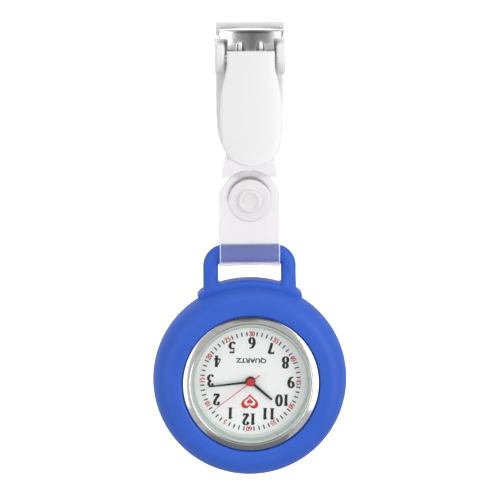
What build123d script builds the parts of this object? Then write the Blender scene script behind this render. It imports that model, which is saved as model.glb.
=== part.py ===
"""A clip-on fob watch: a sprung bulldog clip, a clear strap with a press stud, and a quartz
watch head in a soft sleeve, with its dial upside down so that the wearer reads it from above.

Row frame, in millimetres: +X to the viewer's right, +Y away from the viewer, +Z up.
The origin is the middle of the line where the two jaws pinch the cloth, and the rest hangs below.

Watch parts are drawn in the head's own frame: u to the right, v up, w towards the viewer from
the sleeve's back plane, and head() then stands them up in the row frame.
"""
from build123d import *
from math import atan2, cos, hypot, pi, radians, sin
import os

# ---- driving dimensions -------------------------------------------------------------------
HANG_Y = 2.6                    # the plane that the strap hangs in
CLIP_BAR_Z = -24.3              # bar at the clip's foot that the strap goes round
SNAP_Z = -36.1                  # middle of the press stud
LOOP_BAR_Z = -47.4              # middle of the sleeve's loop bar
HEAD_Z = -73.05                 # middle of the watch head
BACK_Y = HANG_Y + 2.2           # back plane of the sleeve

SLEEVE_R = 19.8                 # widest part of the soft sleeve
SLEEVE_EQUATOR_W = 3.6
SLEEVE_CREST = (15.7, 10.25)    # radius and depth of the highest ring of the sleeve
LIP_R = 14.05                   # front opening of the sleeve
BACK_OPENING_R = 12.5
COLLAR_R = 20.75                # raised collar that carries the loop
COLLAR_HALF_ANGLE = 30.5
LOOP_W = (0.6, 3.8)               # how far the loop and the collar reach forward
COLLAR_W = (0.6, 6.2)

CASE_R = 15.0
CASE_BORE_R = 12.6
CASE_W = (1.15, 8.2)
BEZEL_W = (8.25, 9.95)
BEZEL_BORE_R = 12.4
CRYSTAL_R = 12.0
CRYSTAL_W = (8.5, 9.85)
DIAL_R = 12.1
DIAL_W = (6.6, 7.0)
STEM_W = 5.3                    # height of the crown's axis

STRAP_T = 0.6
STRAP_HALF = 6.15
NECK_HALF = 4.6

PIN_Y, PIN_Z, PIN_R = -0.9, -6.3, 0.8
LEVER_TOP = (-4.6, -4.15)       # outer face of the front lever at its top edge: y, z
LEVER_TILT = 11.0               # degrees that the lever stands off
LEVER_T = 1.5
PLATE_T = 0.5
REAR_FACE_Y = (1.7, 3.5)        # front and back face of the rear lever
EAR_X = (5.2, 7.15)

HOUR_ANGLE, MINUTE_ANGLE, SECOND_ANGLE = 311.0, 84.0, 52.5   # clockwise from twelve
FIT = 0.05                      # gap between pieces that only rest on each other

# Teeth. Each pair is (driver's teeth, driven wheel's teeth).
ROTOR_TO_FIFTH = (6, 30)
FIFTH_TO_FOURTH = (6, 36)
FOURTH_TO_THIRD = (8, 60)
THIRD_TO_CENTRE = (8, 64)
CANNON_TO_MINUTE = (12, 36)
MINUTE_TO_HOUR = (10, 40)
SETTING_TEETH = 20
TRAIN_MODULE = 0.08             # rotor, fifth and fourth
THIRD_DISTANCE = 2.7            # centre of the watch to the third wheel
MINUTE_DISTANCE = 2.4           # centre of the watch to the minute wheel

MIDDLE = (Align.CENTER, Align.CENTER, Align.CENTER)
BASE = (Align.CENTER, Align.CENTER, Align.MIN)

made = {}


def keep(name, shape):
    """Stores one node under the name of its file."""
    made[name] = shape


def head(shape):
    """Stands a watch part up: u stays on X, v becomes Z, and w becomes -Y."""
    return Pos(0, BACK_Y, HEAD_Z) * Rot(90, 0, 0) * shape


def disc(radius, low, high, u=0.0, v=0.0):
    """A round solid between two depths of the head."""
    return Pos(u, v, low) * Cylinder(radius, high - low, align=BASE)


def ring(inner, outer, low, high, u=0.0, v=0.0):
    """A flat ring between two depths of the head."""
    return disc(outer, low, high, u, v) - disc(inner, low - 1, high + 1, u, v)


def slab(width, height, low, high, u=0.0, v=0.0):
    """A rectangular solid between two depths of the head."""
    return Pos(u, v, low) * Box(width, height, high - low, align=BASE)


def turned(*points):
    """A solid of revolution about w from (radius, w) points."""
    return revolve(Plane.XZ * make_face(Polyline(*points, close=True)), Axis.Z)


def across(face, half_width, centre_x=0.0):
    """A (y, z) profile drawn on the YZ plane, carried across X on both sides of centre_x."""
    return Pos(centre_x, 0, 0) * extrude(Plane.YZ * face, half_width, both=True)


def dial_point(angle, radius):
    """(u, v) at a clock angle, on a dial whose twelve is at the bottom."""
    return -radius * sin(radians(angle)), -radius * cos(radians(angle))


# ---- clip ----------------------------------------------------------------------------------
def lever_outline():
    """Front view of the front lever: a waist at the hinge, a wide thumb grip and a round foot."""
    right = [(4.95, 0), (4.92, -3.4), (5.4, -6.2), (6.3, -11.5), (6.25, -17.0), (4.3, -22.0), (0, -23.6)]
    side = Spline(*right, tangents=[(0, -1), (-1, 0)])
    half = make_face(side + Line((0, -23.6), (0, 0)) + Line((0, 0), right[0]))
    return half + mirror(half, Plane.YZ)


def lever_local(shape):
    """Puts a lever part drawn in its own plane in place. Its local z is its outward normal."""
    return Pos(0, *LEVER_TOP) * Rot(90 - LEVER_TILT, 0, 0) * shape


def front_lever():
    """Thumb lever: a shell crowned across its width, with two lugs that turn on the pin."""
    crown_r, reach = 22.0, 8.0
    def crown_arc(radius):
        drop = radius - (radius ** 2 - reach ** 2) ** 0.5
        top = radius - crown_r
        return ThreePointArc((-reach, top - drop), (0, top), (reach, top - drop))
    outer, inner = crown_arc(crown_r), crown_arc(crown_r - LEVER_T)
    band = make_face(outer + Line(outer @ 1, inner @ 1) + inner + Line(inner @ 0, outer @ 0))
    band = extrude(Plane.XZ * band, 30, both=True)
    shell = lever_local(extrude(lever_outline(), 8, both=True) & band)
    slope = sin(radians(LEVER_TILT)) / cos(radians(LEVER_TILT))
    lugs = []
    lug_middle, lug_half, lug_r = 4.05, 0.65, 1.75
    for side in (-1, 1):
        def face_y(z):
            return LEVER_TOP[0] + (z - LEVER_TOP[1]) * slope + 1.2
        web = Polyline(
            (PIN_Y, PIN_Z + lug_r), (face_y(PIN_Z + lug_r), PIN_Z + lug_r),
            (face_y(PIN_Z - 4.0), PIN_Z - 4.0), (PIN_Y, PIN_Z - lug_r), close=True,
        )
        lug = across(make_face(web), lug_half, side * lug_middle)
        lug += Pos(side * lug_middle, PIN_Y, PIN_Z) * Rot(0, 90, 0) * Cylinder(lug_r, 2 * lug_half)
        lugs.append(lug)
    body = shell + lugs[0] + lugs[1]
    bore = Pos(0, PIN_Y, PIN_Z) * Rot(0, 90, 0) * Cylinder(PIN_R + FIT, 20)
    return body - bore


def rear_lever():
    """Back plate with two ears for the pin, and a slot and bar at its foot for the strap."""
    front, back = REAR_FACE_Y
    top, foot = -1.9, CLIP_BAR_Z - 0.9
    right = [(6.0, top), (6.8, -4.0), (6.8, -19.5), (6.1, foot + 1.6)]
    left = [(-x, z) for x, z in reversed(right)]
    outline = Line((-6.0, top), (6.0, top)) + Line(*right[:2]) + Line(*right[1:3])
    outline += Line(*right[2:]) + TangentArc(right[3], (4.6, foot), tangent=(-0.19, -1))
    outline += Line((4.6, foot), (-4.6, foot))
    outline += TangentArc(left[0], (-4.6, foot), tangent=(0.19, -1))
    outline += Line(*left[:2]) + Line(*left[1:3]) + Line(*left[2:])
    plate = Pos(0, back, 0) * extrude(Plane.XZ * make_face(outline), back - front)
    slot_low, slot_high = CLIP_BAR_Z + 0.9, CLIP_BAR_Z + 2.1
    plate -= Pos(0, HANG_Y, (slot_low + slot_high) / 2) * Box(2 * (NECK_HALF + 0.3), 5, slot_high - slot_low)
    square = Pos(0, HANG_Y, CLIP_BAR_Z - 0.01) * Box(2 * (NECK_HALF + 0.3), 3, 1.84)
    bar = Pos(0, HANG_Y, CLIP_BAR_Z) * Rot(0, 90, 0) * Cylinder(0.9, 2 * (NECK_HALF + 0.3) + 0.4)
    plate = (plate - square) + bar
    ear_front, ear_top, ear_foot, corner = -3.6, -1.9, -9.3, 1.6
    ear = Polyline(
        (front + 0.5, ear_top), (ear_front + corner, ear_top), (ear_front, ear_top - corner),
        (ear_front, ear_foot + corner + 1), (ear_front + corner, ear_foot + 0.4), (front + 0.5, ear_foot - 1.5),
        close=True,
    )
    for side in (-1, 1):
        plate += across(make_face(ear), (EAR_X[1] - EAR_X[0]) / 2, side * (EAR_X[0] + EAR_X[1]) / 2)
    plate -= Pos(0, PIN_Y, PIN_Z) * Rot(0, 90, 0) * Cylinder(PIN_R + 0.01, 20)
    return plate


def front_jaw():
    """T-shaped jaw plate: its tang lies behind the lever, and its head leans back to the pinch line."""
    slope = sin(radians(LEVER_TILT)) / cos(radians(LEVER_TILT))
    tang_y = LEVER_TOP[0] + LEVER_T + 0.3 + FIT + PLATE_T / 2
    foot_z = -7.2
    path = FilletPolyline(
        (tang_y + (foot_z - LEVER_TOP[1]) * slope, foot_z), (tang_y, LEVER_TOP[1]),
        (tang_y + 0.8, -0.6), (-0.2, 0.15), radius=[3.0, 0.7],
    )
    plate = Plane.YZ * trace(path, PLATE_T)
    plate = extrude(plate, 6.5, both=True)
    head_z, stem_half, tang_half = -1.8, 4.8, 3.3
    front_view = Pos(0, 0, 1.0) * Box(13.0, 20, 2 * (1.0 - head_z))
    front_view += Pos(0, 0, -2.9) * Box(2 * stem_half, 20, 2.4)
    front_view += Pos(0, 0, -6.0) * Box(2 * tang_half, 20, 4.8)
    plate &= front_view
    for side in (-1, 1):
        arch = Pos(side * 2.0, 0, -3.45) * Rot(90, 0, 0) * Cylinder(0.85, 20)
        plate -= arch + Pos(side * 2.0, 0, -4.0) * Box(1.7, 20, 1.1)
    return plate - jaw_teeth()


def jaw_teeth():
    """Notches along the pinching edge of the front jaw."""
    notch = extrude(Plane.XY.offset(-0.3) * make_face(Polyline((-0.4, 0.2), (0.4, 0.2), (0, -0.3), close=True)), 1.4)
    notches = Pos(0, -0.42, 0) * notch
    pitch = 1.3
    for n in range(1, 5):
        notches += Pos(n * pitch, -0.42, 0) * notch
        notches += Pos(-n * pitch, -0.42, 0) * notch
    return notches


def rear_jaw():
    """Hemmed jaw: a plate on the rear lever whose top is rolled over into a front lip."""
    back_y, lip_y, bend_z = REAR_FACE_Y[0] - FIT - PLATE_T / 2, PLATE_T / 2, 0.6
    path = Line((back_y, -4.6), (back_y, bend_z))
    path += ThreePointArc((back_y, bend_z), ((back_y + lip_y) / 2, bend_z + (back_y - lip_y) / 2), (lip_y, bend_z))
    path += Line((lip_y, bend_z), (lip_y, -1.75))
    plate = extrude(Plane.YZ * trace(path, PLATE_T), 6.95, both=True)
    front_view = Pos(0, 0, 2.0) * Box(13.9, 20, 7.7)
    front_view += Pos(0, 0, -3.4) * Box(9.8, 20, 4.0)
    return plate & front_view


def hinge_pin():
    """Rivet pin through both ears and both lugs, with a low head outside each ear."""
    pin = Pos(0, PIN_Y, PIN_Z) * Rot(0, 90, 0) * Cylinder(PIN_R, 2 * EAR_X[1])
    for side in (-1, 1):
        pin += Pos(side * (EAR_X[1] + 0.15), PIN_Y, PIN_Z) * Rot(0, 90, 0) * Cylinder(1.2, 0.3)
    return pin


def torsion_spring():
    """Coil round the pin, one leg on the rear lever and one on the front lever."""
    wire, coil_r, turns, pitch = 0.3, 1.3, 5.5, 0.72
    length = turns * pitch
    axis = Pos(-length / 2, PIN_Y, PIN_Z) * Rot(0, 90, 0) * Rot(0, 0, 90)
    path = axis * Helix(pitch=pitch, height=length, radius=coil_r)
    section = Plane(origin=path @ 0, z_dir=path % 0) * Circle(wire)
    coil = sweep(section, path=path, is_frenet=True)
    start, end = path @ 0, path @ 1
    rear_foot = Vector(start.X, REAR_FACE_Y[0] - wire - 0.1, PIN_Z - 8.0)
    front_foot = Vector(end.X, -4.5, PIN_Z - 7.6)
    legs = []
    for tip, foot in ((start, rear_foot), (end, front_foot)):
        legs.append(Plane(origin=tip, z_dir=foot - tip) * Cylinder(wire - 0.02, (foot - tip).length, align=BASE))
        legs.append(Pos(*tip) * Sphere(wire + 0.04))
    return coil.fuse(*legs)


# ---- strap ---------------------------------------------------------------------------------
def ribbon(path):
    """A (y, z) path made into a strip of the strap's thickness, across the strap's full width."""
    return extrude(Plane.YZ * trace(path, STRAP_T), STRAP_HALF, both=True)


U_R = 2.4                       # centreline of the strap round the loop bar
SLIT_R = 1.5                    # centreline of the strap round the clip's bar
BACK_RUN_Y = HANG_Y + 1.45      # back run at the press stud
LEAF_Y = HANG_Y - 1.2           # front leaf at the press stud


def strap_back_run():
    """The strap from its welded return tab, over the clip's bar, down the back and half round the loop bar."""
    weld_z = CLIP_BAR_Z - 4.6
    over = ThreePointArc(
        (HANG_Y - SLIT_R, CLIP_BAR_Z), (HANG_Y, CLIP_BAR_Z + SLIT_R), (HANG_Y + SLIT_R, CLIP_BAR_Z)
    )
    down = FilletPolyline(
        (HANG_Y + SLIT_R, CLIP_BAR_Z), (BACK_RUN_Y, SNAP_Z - 4.5), (HANG_Y + U_R, LOOP_BAR_Z), radius=[20]
    )
    under = ThreePointArc(
        (HANG_Y + U_R, LOOP_BAR_Z),
        (HANG_Y + U_R * cos(pi / 4), LOOP_BAR_Z - U_R * sin(pi / 4)),
        (HANG_Y + FIT / 2, LOOP_BAR_Z - U_R),
    )
    tab = FilletPolyline(
        (HANG_Y - SLIT_R, CLIP_BAR_Z), (BACK_RUN_Y - 0.55, weld_z), (BACK_RUN_Y - 0.45, weld_z - 3.0), radius=[3]
    )
    strip = ribbon(over) + ribbon(down) + ribbon(under) + ribbon(tab)
    strip -= Pos(0, -50 + HANG_Y + FIT / 2, LOOP_BAR_Z - 5) * Box(40, 100, 10)
    right = [(NECK_HALF, CLIP_BAR_Z + 3), (NECK_HALF, CLIP_BAR_Z - 1.2), (STRAP_HALF, CLIP_BAR_Z - 8.5)]
    right += [(STRAP_HALF, LOOP_BAR_Z - 5)]
    outline = Polyline(*right, *[(-x, z) for x, z in reversed(right)], close=True)
    return strip & extrude(Plane.XZ * make_face(outline), 20, both=True) - stud_hole()


def stud_hole():
    """Hole that the press stud's posts pass through."""
    return Pos(0, HANG_Y, SNAP_Z) * Rot(90, 0, 0) * Cylinder(0.85, 12)


def strap_front_leaf():
    """The strap's other end: half round the loop bar, up the front, to a round end over the press stud."""
    under = ThreePointArc(
        (HANG_Y - FIT / 2, LOOP_BAR_Z - U_R),
        (HANG_Y - U_R * cos(pi / 4), LOOP_BAR_Z - U_R * sin(pi / 4)),
        (HANG_Y - U_R, LOOP_BAR_Z),
    )
    up = FilletPolyline(
        (HANG_Y - U_R, LOOP_BAR_Z), (LEAF_Y, SNAP_Z - 4.5), (LEAF_Y, SNAP_Z + STRAP_HALF), radius=[20]
    )
    strip = ribbon(under) + ribbon(up)
    strip -= Pos(0, 50 + HANG_Y - FIT / 2, LOOP_BAR_Z - 5) * Box(40, 100, 10)
    front_view = Pos(0, 0, SNAP_Z) * Rot(90, 0, 0) * Cylinder(STRAP_HALF, 40)
    front_view += Pos(0, 0, SNAP_Z - 10) * Box(2 * STRAP_HALF, 40, 20)
    return (strip & front_view) - stud_hole()


def snap_turned(*points):
    """A press-stud part turned about the stud's axis from (radius, y) points."""
    profile = Plane.XY * make_face(Polyline(*points, close=True))
    return Pos(0, 0, SNAP_Z) * revolve(profile, Axis.Y)


def press_stud():
    """Four moulded parts: cap and socket clinched through the leaf, stud and back cap through the back run."""
    post_r, leaf_front, leaf_back = 0.8, LEAF_Y - STRAP_T / 2 - FIT, LEAF_Y + STRAP_T / 2 + FIT
    run_front, run_back = BACK_RUN_Y - STRAP_T / 2 - FIT, BACK_RUN_Y + STRAP_T / 2 + FIT
    flange_r, socket_r, cavity_r, stud_r = 4.4, 3.2, 1.75, 1.55
    keep("snap_cap", snap_turned(
        (0, leaf_front - 0.75), (1.5, leaf_front - 0.75), (1.65, leaf_front - 1.1), (2.2, leaf_front - 1.1),
        (2.35, leaf_front - 0.95), (2.35, leaf_front - 0.5), (4.1, leaf_front - 0.5), (flange_r, leaf_front - 0.2),
        (flange_r, leaf_front), (post_r, leaf_front), (post_r, leaf_back + 0.1), (0, leaf_back + 0.1),
    ))
    keep("snap_socket", snap_turned(
        (post_r + FIT, leaf_back), (socket_r, leaf_back), (socket_r, leaf_back + 1.2),
        (socket_r - 0.2, leaf_back + 1.4), (cavity_r, leaf_back + 1.4), (cavity_r, leaf_back + 0.2),
        (post_r + FIT, leaf_back + 0.2),
    ))
    keep("snap_stud", snap_turned(
        (post_r + FIT, run_front), (socket_r, run_front), (socket_r, run_front - 0.45), (1.3, run_front - 0.45),
        (stud_r, run_front - 0.9), (stud_r, run_front - 1.25), (1.3, run_front - 1.5), (post_r + FIT, run_front - 1.5),
    ))
    keep("snap_back_cap", snap_turned(
        (0, run_back + 0.7), (3.2, run_back + 0.7), (flange_r, run_back + 0.3), (flange_r, run_back),
        (post_r, run_back), (post_r, run_front - 1.4), (0, run_front - 1.4),
    ))


# ---- sleeve and case -----------------------------------------------------------------------
def sleeve():
    """Soft sleeve: a domed ring round the case, a collar behind it and the loop for the strap."""
    crest_r, crest_w = SLEEVE_CREST
    back_flat_r = 16.6
    outline = Line((BACK_OPENING_R, 0), (back_flat_r, 0))
    outline += Bezier((back_flat_r, 0), (18.6, 0), (SLEEVE_R, 1.3), (SLEEVE_R, SLEEVE_EQUATOR_W))
    outline += Bezier((SLEEVE_R, SLEEVE_EQUATOR_W), (SLEEVE_R, 7.7), (18.3, crest_w), (crest_r, crest_w))
    outline += Bezier((crest_r, crest_w), (14.8, crest_w), (LIP_R, 9.95), (LIP_R, 9.3))
    outline += Line((LIP_R, 9.3), (LIP_R, 5)) + Line((LIP_R, 5), (BACK_OPENING_R, 5))
    outline += Line((BACK_OPENING_R, 5), (BACK_OPENING_R, 0))
    body = revolve(Plane.XZ * make_face(outline), Axis.Z)
    body += collar() + loop()
    low, high = CASE_W
    pocket = turned(
        (0, low - FIT), (13.6, low - FIT), (CASE_R + FIT, low + 1.2), (CASE_R + FIT, high + FIT), (0, high + FIT)
    )
    body -= pocket + disc(BACK_OPENING_R, -5, 5) + disc(LIP_R, 5, 20)
    crown_room = Pos(-CASE_R, 0, STEM_W) * Rot(0, -90, 0) * Cylinder(1.95, 3.2, align=BASE)
    return head(body - crown_room)


def collar():
    """Raised arc of the sleeve's back layer, from which the loop grows."""
    low, high = COLLAR_W
    half, inner = radians(COLLAR_HALF_ANGLE), 16.0
    ends = [(COLLAR_R * sin(a), COLLAR_R * cos(a)) for a in (-half, half)]
    feet = [(inner * sin(a * 1.12), inner * cos(a * 1.12)) for a in (half, -half)]
    outline = ThreePointArc(ends[0], (0, COLLAR_R), ends[1]) + Polyline(ends[1], feet[0], feet[1], ends[0])
    block = Pos(0, 0, low) * extrude(make_face(outline), high - low)
    corners = block.edges().filter_by(Axis.Z).sort_by(Axis.Y)[-2:]
    block = fillet(corners, 1.1)
    rims = [e for e in block.edges() if e.center().Y > 14 and abs(e.tangent_at(0.5).Z) < 0.5 and e.length > 5]
    rims = [e for e in rims if hypot(e.center().X, e.center().Y) > 19]
    return fillet(rims, 0.7)


def loop():
    """Round-edged bail: two legs and a bar, with tight inner corners that let the strap lie flat."""
    half, leg, bar = 9.47, 3.07, 3.5
    low, high = LOOP_W
    top, foot = LOOP_BAR_Z - HEAD_Z + bar / 2, 16.5
    tall = top - foot
    outer = Pos(0, foot) * RectangleRounded(2 * half, 2 * tall, 4.7)
    inner = Pos(0, foot) * RectangleRounded(2 * (half - leg), 2 * (tall - bar), 0.7)
    bail = Pos(0, 0, low) * extrude(outer - inner, high - low)
    rims = [e for e in bail.edges() if abs(e.center().Z - low) < 1e-3 or abs(e.center().Z - high) < 1e-3]
    bail = fillet(rims, 1.35)
    return bail & (Pos(0, foot, 0) * Box(30, 2 * tall, 20, align=(Align.CENTER, Align.MIN, Align.CENTER)))


def case_parts():
    """Metal case, pressed bezel, crystal and its gasket, back and its seal, and the dial's flange."""
    low, high = CASE_W
    case = turned(
        (CASE_BORE_R, low + 0.55), (13.35, low + 0.55), (13.35, low), (13.6, low), (CASE_R, low + 1.2),
        (CASE_R, high - 0.5), (CASE_R - 0.5, high), (13.2, high), (13.2, high + 0.6), (12.7, high + 0.6),
        (12.7, high), (11.9, high), (11.9, high - 0.35), (CASE_BORE_R, high - 0.35),
    )
    tube_hole = Pos(-CASE_BORE_R + 1, 0, STEM_W) * Rot(0, -90, 0) * Cylinder(0.95, 6, align=BASE)
    keep("case_body", head(case - tube_hole))
    foot, top = BEZEL_W
    keep("bezel", head(turned(
        (13.25, foot), (13.95, foot), (13.95, top - 0.75), (13.75, top - 0.45), (12.6, top), (BEZEL_BORE_R, top - 0.08),
        (BEZEL_BORE_R, foot + 0.6), (13.25, foot + 0.6),
    )))
    keep("crystal_gasket", head(turned(
        (11.5, high + 0.02), (12.65, high + 0.02), (12.65, high + 0.6), (BEZEL_BORE_R - 0.03, high + 0.6),
        (BEZEL_BORE_R - 0.03, top - 0.2), (CRYSTAL_R + 0.03, top - 0.2), (CRYSTAL_R + 0.03, CRYSTAL_W[0] - FIT),
        (11.5, CRYSTAL_W[0] - FIT),
    )))
    keep("crystal", head(turned(
        (0, CRYSTAL_W[0]), (CRYSTAL_R, CRYSTAL_W[0]), (CRYSTAL_R, CRYSTAL_W[1] - 0.35),
        (CRYSTAL_R - 0.5, CRYSTAL_W[1]), (0, CRYSTAL_W[1]),
    )))
    keep("dial_flange", head(turned(
        (11.15, DIAL_W[1] + FIT), (11.85, DIAL_W[1] + FIT), (11.85, high - 0.02), (11.45, high - 0.02),
    )))
    keep("case_back", head(turned(
        (0, low - 0.25), (12.2, low - 0.25), (12.4, low), (13.3, low), (13.3, low + 0.5), (12.5, low + 0.5),
        (12.5, low + 1.9), (11.9, low + 1.9), (11.9, low + 0.6), (0, low + 0.6),
    )))
    seal = Pos(0, 0, low + 2.25) * Torus(12.2, 0.3)
    keep("case_back_seal", head(seal))


def dial():
    """Dial disc with the hole for the hands and two feet that locate it on the main plate."""
    low, high = DIAL_W
    plate = ring(1.05, DIAL_R - 0.3, low, high)
    for angle in (20, 200):
        plate += disc(0.35, low - 0.8, low + 0.1, *dial_point(angle, 8.4))
    keep("dial", head(plate))


def hand(angle, length, tail, hub_r, bore_r, half_root, half_tip, low, high):
    """A watch hand: a round hub, a blade that narrows to its tip, and a tail."""
    blade = Polyline((half_root, 0), (half_tip, length), (-half_tip, length), (-half_root, 0), close=True)
    shape = extrude(make_face(blade), high - low)
    if tail:
        shape += Pos(0, -tail / 2, 0) * Box(2 * half_root, tail, high - low, align=BASE)
    shape += Cylinder(hub_r, high - low, align=BASE)
    shape -= Cylinder(bore_r, 2 * (high - low), align=MIDDLE)
    return head(Pos(0, 0, low) * Rot(0, 0, 180 - angle) * shape)


def hands():
    """Hour and minute hands on their tubes, and a second hand closed by a small cap."""
    keep("hour_hand", hand(HOUR_ANGLE, 5.8, 0, 1.0, 0.72, 0.32, 0.2, 7.3, 7.45))
    keep("minute_hand", hand(MINUTE_ANGLE, 8.6, 0, 0.85, 0.46, 0.26, 0.15, 7.65, 7.8))
    second = hand(SECOND_ANGLE, 9.2, 2.3, 0.8, 0.14, 0.1, 0.06, 8.0, 8.1)
    keep("second_hand", second + head(disc(0.45, 8.09, 8.22) - disc(0.14, 8.0, 8.15)))


def crown_parts():
    """Fluted crown, its tube, gasket and stem. The crown stands at three, on the viewer's left."""
    def outward(shape, distance):
        return Pos(-distance, 0, STEM_W) * Rot(0, -90, 0) * shape
    tube = Cylinder(0.9, 4.0, align=BASE) - Cylinder(0.5, 9, align=MIDDLE)
    keep("crown_tube", head(outward(tube, CASE_BORE_R - 0.4)))
    crown_r, crown_start, crown_length = 1.6, CASE_R + 0.1, 1.75
    crown = Cylinder(crown_r, crown_length, align=BASE)
    flutes, flute_r = 18, 0.14
    for n in range(flutes):
        angle = 2 * pi * n / flutes
        crown -= Pos(crown_r * cos(angle), crown_r * sin(angle), 0) * Cylinder(flute_r, 6, align=MIDDLE)
    crown -= Cylinder(1.3, 2 * 1.3, align=MIDDLE)
    keep("crown", head(outward(crown, crown_start)))
    seal = Pos(0, 0, 0.75) * Torus(1.09, 0.16)
    keep("crown_gasket", head(outward(seal, crown_start)))
    stem_inner, pinion_r, pinion_length = 2.65, 0.42, 0.6
    stem = Cylinder(0.32, crown_start + 1.25 - stem_inner, align=BASE)
    pinion = Cylinder(pinion_r, pinion_length, align=BASE)
    for n in range(10):
        angle = 2 * pi * n / 10
        pinion -= Pos(pinion_r * cos(angle), pinion_r * sin(angle), 0) * Cylinder(0.06, 6, align=MIDDLE)
    groove_at = 7.6
    groove = Pos(0, 0, groove_at - stem_inner) * (Cylinder(0.5, 0.4) - Cylinder(0.2, 1))
    keep("winding_stem", head(outward(stem + pinion - groove, stem_inner)))
    fork = slab(0.3, 0.8, 4.45, 5.6, -groove_at) - slab(1, 0.44, 5.06, 6.0, -groove_at)
    fork += slab(1.5, 0.8, 4.45, 4.75, -groove_at + 0.6)
    keep("setting_fork", head(fork))


# ---- movement ------------------------------------------------------------------------------
def toothed(teeth, module, low, high, bore=0.0, phase=0.0, u=0.0, v=0.0):
    """A spur wheel with straight-flanked teeth. phase is the angle of one tooth, in radians."""
    pitch_r, step = teeth * module / 2, 2 * pi / teeth
    root_r, tip_r = pitch_r - 1.2 * module, pitch_r + 0.9 * module
    points = []
    for n in range(teeth):
        centre = phase + n * step
        for r, share in ((root_r, -0.3), (tip_r, -0.12), (tip_r, 0.12), (root_r, 0.3)):
            points.append((r * cos(centre + share * step), r * sin(centre + share * step)))
    wheel = extrude(make_face(Polyline(*points, close=True)), high - low)
    if bore:
        wheel -= Cylinder(bore, 4, align=MIDDLE)
    return Pos(u, v, low) * wheel


def meshed_phase(direction, phase, teeth, other_teeth):
    """Phase that puts a gap of the other wheel at a tooth of the first one. direction points to the other wheel."""
    return direction + pi + pi / other_teeth + (direction - phase) * teeth / other_teeth


def at(angle, distance, start=(0.0, 0.0)):
    """(u, v) at an angle in degrees and a distance from a start."""
    return start[0] + distance * cos(radians(angle)), start[1] + distance * sin(radians(angle))


def direction_between(a, b):
    return atan2(b[1] - a[1], b[0] - a[0])


CENTRE = (0.0, 0.0)
FIFTH = at(150, TRAIN_MODULE * sum(FIFTH_TO_FOURTH) / 2)
ROTOR = at(170, TRAIN_MODULE * sum(ROTOR_TO_FIFTH) / 2, FIFTH)
THIRD = at(20, THIRD_DISTANCE)
MINUTE = at(210, MINUTE_DISTANCE)
SETTING_REACH = 2 * MINUTE_DISTANCE / sum(CANNON_TO_MINUTE) * (CANNON_TO_MINUTE[1] + SETTING_TEETH) / 2
SETTING_V = 0.75                # keeps the setting wheel's arbor clear of the stem
SETTING = (MINUTE[0] - (SETTING_REACH ** 2 - (MINUTE[1] - SETTING_V) ** 2) ** 0.5, SETTING_V)
BATTERY, BATTERY_R = (2.2, -5.25), 3.2
PILLARS = [(-5.6, 4.6), (5.9, 3.6), (-4.7, -4.3)]


def train():
    """Rotor to centre wheel: 30 turns of the rotor to one of the seconds wheel, 60 of that to one of the centre."""
    m = TRAIN_MODULE
    rotor = disc(0.85, 3.3, 4.3, *ROTOR) + toothed(6, m, 2.95, 3.31, 0, 0, *ROTOR)
    rotor += disc(0.12, 2.45, 5.0, *ROTOR)
    keep("rotor", head(rotor))
    phase = meshed_phase(direction_between(ROTOR, FIFTH), 0, *ROTOR_TO_FIFTH)
    fifth = toothed(ROTOR_TO_FIFTH[1], m, 2.98, 3.14, 0, phase, *FIFTH)
    fifth += toothed(FIFTH_TO_FOURTH[0], m, 3.13, 3.5, 0, 0, *FIFTH) + disc(0.12, 2.45, 5.0, *FIFTH)
    keep("fifth_wheel", head(fifth))
    phase = meshed_phase(direction_between(FIFTH, CENTRE), 0, *FIFTH_TO_FOURTH)
    fast_module = 2 * THIRD_DISTANCE / sum(FOURTH_TO_THIRD)
    fourth = toothed(FIFTH_TO_FOURTH[1], m, 3.2, 3.4, 0, phase)
    fourth += toothed(FOURTH_TO_THIRD[0], fast_module, 3.39, 4.2, 0, 0)
    fourth += disc(0.12, 2.45, 8.08)
    keep("fourth_wheel", head(fourth))
    phase = meshed_phase(direction_between(CENTRE, THIRD), 0, *FOURTH_TO_THIRD)
    slow_module = 2 * THIRD_DISTANCE / sum(THIRD_TO_CENTRE)
    third = toothed(FOURTH_TO_THIRD[1], fast_module, 3.9, 4.1, 0, phase, *THIRD)
    third += toothed(THIRD_TO_CENTRE[0], slow_module, 4.09, 4.8, 0, 0, *THIRD) + disc(0.12, 2.45, 5.0, *THIRD)
    keep("third_wheel", head(third))
    phase = meshed_phase(direction_between(THIRD, CENTRE), 0, *THIRD_TO_CENTRE)
    centre = toothed(THIRD_TO_CENTRE[1], slow_module, 4.5, 4.7, 0.17, phase)
    centre += ring(0.17, 0.3, 4.6, 7.5)
    keep("centre_wheel", head(centre))


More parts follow.
